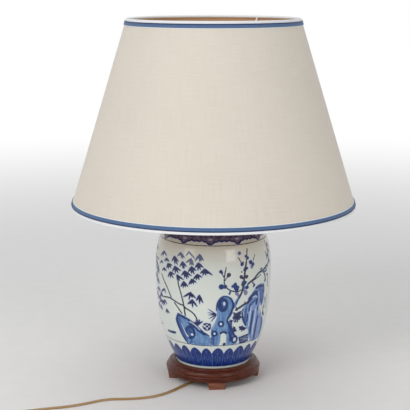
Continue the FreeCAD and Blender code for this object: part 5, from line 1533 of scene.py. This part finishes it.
class LAMP_OT_shade(bpy.types.Operator):
    """Fabric, lining, wires and edge tapes of the shade"""
    bl_idname = "lamp.shade"
    bl_label = "Shade"

    def execute(self, context):
        fabric = place_piece("shade_cloth", outwards(fabric_cone()), shade_cloth(), "shade",
                             ("shade_fabric",))
        dress("shade_lining", shade_backing())
        wire = white_enamel()
        for node in ("shade_top_ring", "shade_bottom_ring", "shade_centre_ring", "shade_arm_1",
                     "shade_arm_2", "shade_arm_3"):
            dress(node, wire)
        tape = edging_tape()
        dress("top_white_tape", tape)
        dress("bottom_white_tape", tape)
        return {"FINISHED"}


# ---------------------------------------------------------------- blue braid

def dyed_yarn(name, dark, light):
    # Dyed rayon yarn, plaited tight: soft sheen along each stitch, darker between them. Its
    # fibres are drawn 1 mm apart, because the real ones are too fine to show.
    return mottled(name, dark, light, 900.0, 3.0, 0.4, 0.0002, Roughness=0.6, IOR=1.48,
                   Sheen_Weight=0.25, Sheen_Roughness=0.45)


def stitch_tree():
    """Geometry Nodes: one row of slanted stitches round a ring of a cone."""
    tree = bpy.data.node_groups.new("stitch_row", "GeometryNodeTree")
    face = tree.interface
    for name, kind in (("Radius", "NodeSocketFloat"), ("Height", "NodeSocketFloat"),
                       ("Stitches", "NodeSocketInt"), ("Length", "NodeSocketFloat"),
                       ("Thickness", "NodeSocketFloat"), ("Width", "NodeSocketFloat"),
                       ("Slant", "NodeSocketFloat"), ("Cone Lean", "NodeSocketFloat"),
                       ("Yarn", "NodeSocketMaterial")):
        face.new_socket(name, in_out="INPUT", socket_type=kind)
    face.new_socket("Geometry", in_out="OUTPUT", socket_type="NodeSocketGeometry")
    given = add(tree, "NodeGroupInput").outputs
    ring = add(tree, "GeometryNodeCurvePrimitiveCircle",
               {"Resolution": given["Stitches"], "Radius": given["Radius"]})
    lift = add(tree, "ShaderNodeCombineXYZ", {"Z": given["Height"]})
    ring = add(tree, "GeometryNodeTransform", {"Geometry": ring.outputs[0],
                                               "Translation": lift.outputs[0]})
    stitch = add(tree, "GeometryNodeMeshUVSphere", {"Segments": 6, "Rings": 4, "Radius": 0.5})
    size = add(tree, "ShaderNodeCombineXYZ", {0: given["Width"], 1: given["Thickness"],
                                              2: given["Length"]})
    slant = add(tree, "ShaderNodeCombineXYZ", {"Y": given["Slant"]})
    stitch = add(tree, "GeometryNodeTransform", {"Geometry": stitch.outputs[0],
                                                 "Rotation": slant.outputs[0],
                                                 "Scale": size.outputs[0]})
    lean = add(tree, "ShaderNodeCombineXYZ", {"X": given["Cone Lean"]})
    stitch = add(tree, "GeometryNodeTransform", {"Geometry": stitch.outputs[0],
                                                 "Rotation": lean.outputs[0]})
    tangent = add(tree, "GeometryNodeInputTangent")
    turned = add(tree, "FunctionNodeAlignRotationToVector", {"Vector": tangent.outputs[0]},
                 axis="X", pivot_axis="Z")
    row = add(tree, "GeometryNodeInstanceOnPoints",
              {"Points": ring.outputs[0], "Instance": stitch.outputs[0],
               "Rotation": turned.outputs[0]})
    solid = add(tree, "GeometryNodeRealizeInstances", {"Geometry": row.outputs[0]})
    dyed = add(tree, "GeometryNodeSetMaterial", {"Geometry": solid.outputs[0],
                                                 "Material": given["Yarn"]})
    shaded = add(tree, "GeometryNodeSetShadeSmooth", {"Geometry": dyed.outputs[0]})
    add(tree, "NodeGroupOutput", {"Geometry": shaded.outputs[0]})
    return tree


def stitch_row(tree, values):
    """The mesh that the stitch tree makes from these inputs."""
    holder = bpy.data.objects.new("row", bpy.data.meshes.new("row"))
    bpy.context.scene.collection.objects.link(holder)
    row = holder.modifiers.new("row", "NODES")
    row.node_group = tree
    sockets = {item.name: item.identifier for item in tree.interface.items_tree
               if item.in_out == "INPUT"}
    for name, value in values.items():
        row[sockets[name]] = value
    ready = holder.evaluated_get(bpy.context.evaluated_depsgraph_get())
    mesh = bpy.data.meshes.new_from_object(ready)
    bpy.data.objects.remove(holder)
    return mesh


def braid_mesh(name, node, top, tree, navy, blue):
    """A braid's rows of stitches on its backing: navy beside the white edge, two blue rows that
    slant both ways beyond it."""
    low, high = (corner[2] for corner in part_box(node))
    lean = math.atan2(SHADE_LOW_R - SHADE_TOP_R, SHADE_TOP - SHADE_LOW)
    edge = high if top else low
    way = -1 if top else 1
    pitch, thick = sizes().braid_pitch, sizes().braid_stitch
    # how far the backing and the stitches stand off the fabric, and each row's place from the
    # edge, its stitches' length (both in millimetres), their slant and their yarn
    stand_off, backing_thick, stitch_lift = 0.00045, 0.0004, 0.0005
    bands = ((0.15, 2.1, 0.5, navy), (2.3, 2.5, -0.55, blue), (4.6, 2.5, 0.55, blue))
    joined = bmesh.new()
    columns = 200
    backing = []
    for depth, out in ((-0.75, 0.0), (-0.75, backing_thick), (1.1, backing_thick),
                       (5.7, backing_thick), (5.7, 0.0)):
        z = edge + way * depth / 1000 * math.cos(lean)
        r = cone_radius(z) + stand_off + out
        backing.append([joined.verts.new((r * math.cos(2 * math.pi * k / columns),
                                          r * math.sin(2 * math.pi * k / columns), z))
                        for k in range(columns)])
    for row, (a, b) in enumerate(zip(backing, backing[1:] + backing[:1])):
        for k in range(columns):
            after = (k + 1) % columns
            face = joined.faces.new((a[k], a[after], b[after], b[k]))
            face.material_index = 1 if row in (2, 3) else 0
    bmesh.ops.recalc_face_normals(joined, faces=joined.faces)
    for face in joined.faces:
        face.smooth = True
    for depth, width, slant, yarn in bands:
        z = edge + way * depth / 1000 * math.cos(lean)
        r = cone_radius(z) + stand_off + stitch_lift
        row = stitch_row(tree, {"Radius": r, "Height": z, "Length": width / 1000,
                                "Stitches": round(2 * math.pi * r / pitch * 1.6),
                                "Thickness": thick, "Width": pitch * 0.78,
                                "Slant": slant, "Cone Lean": lean, "Yarn": yarn})
        start = len(joined.faces)
        joined.from_mesh(row)
        joined.faces.ensure_lookup_table()
        for k in range(start, len(joined.faces)):
            joined.faces[k].material_index = 0 if yarn is navy else 1
        bpy.data.meshes.remove(row)
    mesh = bpy.data.meshes.new(name)
    joined.to_mesh(mesh)
    joined.free()
    return mesh


class LAMP_OT_braid(bpy.types.Operator):
    """Two-colour braid along both edges of the shade"""
    bl_idname = "lamp.braid"
    bl_label = "Blue braid"

    def execute(self, context):
        tree = stitch_tree()
        navy = dyed_yarn("rayon_plaited_navy", linear("#1D2F5C"), tuple(colours().navy_braid))
        blue = dyed_yarn("rayon_plaited_steel_blue", linear("#4A6A94"),
                         tuple(colours().blue_braid))
        for name, top in (("top_braid", True), ("bottom_braid", False)):
            node = name.replace("_", "_blue_")
            mesh = braid_mesh(name, node, top, tree, navy, blue)
            place_piece(name, mesh, navy, "shade", (node,), smooth=False)
            mesh.materials.append(blue)
        return {"FINISHED"}


# ---------------------------------------------------------------- panel and registration

class LAMP_PT_panel(bpy.types.Panel):
    """The lamp's sizes and colours, and the steps that build it"""
    bl_label = "Ginger jar lamp"
    bl_idname = "LAMP_PT_panel"
    bl_space_type = "VIEW_3D"
    bl_region_type = "UI"
    bl_category = "Lamp"

    def draw(self, context):
        layout = self.layout
        for group in (context.scene.lamp_sizes, context.scene.lamp_colours):
            for name in group.__annotations__:
                layout.prop(group, name)
        for step in STEPS:
            layout.operator(step.bl_idname)


STEPS = (LAMP_OT_stage, LAMP_OT_lead, LAMP_OT_stand, LAMP_OT_jar, LAMP_OT_fittings, LAMP_OT_bulb,
         LAMP_OT_shade, LAMP_OT_braid)
CLASSES = (LampSizes, LampColours) + STEPS + (LAMP_PT_panel,)


def register():
    for kind in CLASSES:
        bpy.utils.register_class(kind)
    bpy.types.Scene.lamp_sizes = PointerProperty(type=LampSizes)
    bpy.types.Scene.lamp_colours = PointerProperty(type=LampColours)


def unregister():
    del bpy.types.Scene.lamp_colours
    del bpy.types.Scene.lamp_sizes
    for kind in reversed(CLASSES):
        bpy.utils.unregister_class(kind)


def main():
    register()
    bpy.ops.lamp.stage()
    bpy.ops.lamp.lead()
    bpy.ops.lamp.stand()
    bpy.ops.lamp.jar()
    bpy.ops.lamp.fittings()
    bpy.ops.lamp.bulb()
    bpy.ops.lamp.shade()
    bpy.ops.lamp.braid()


if __name__ == "__main__":
    main()
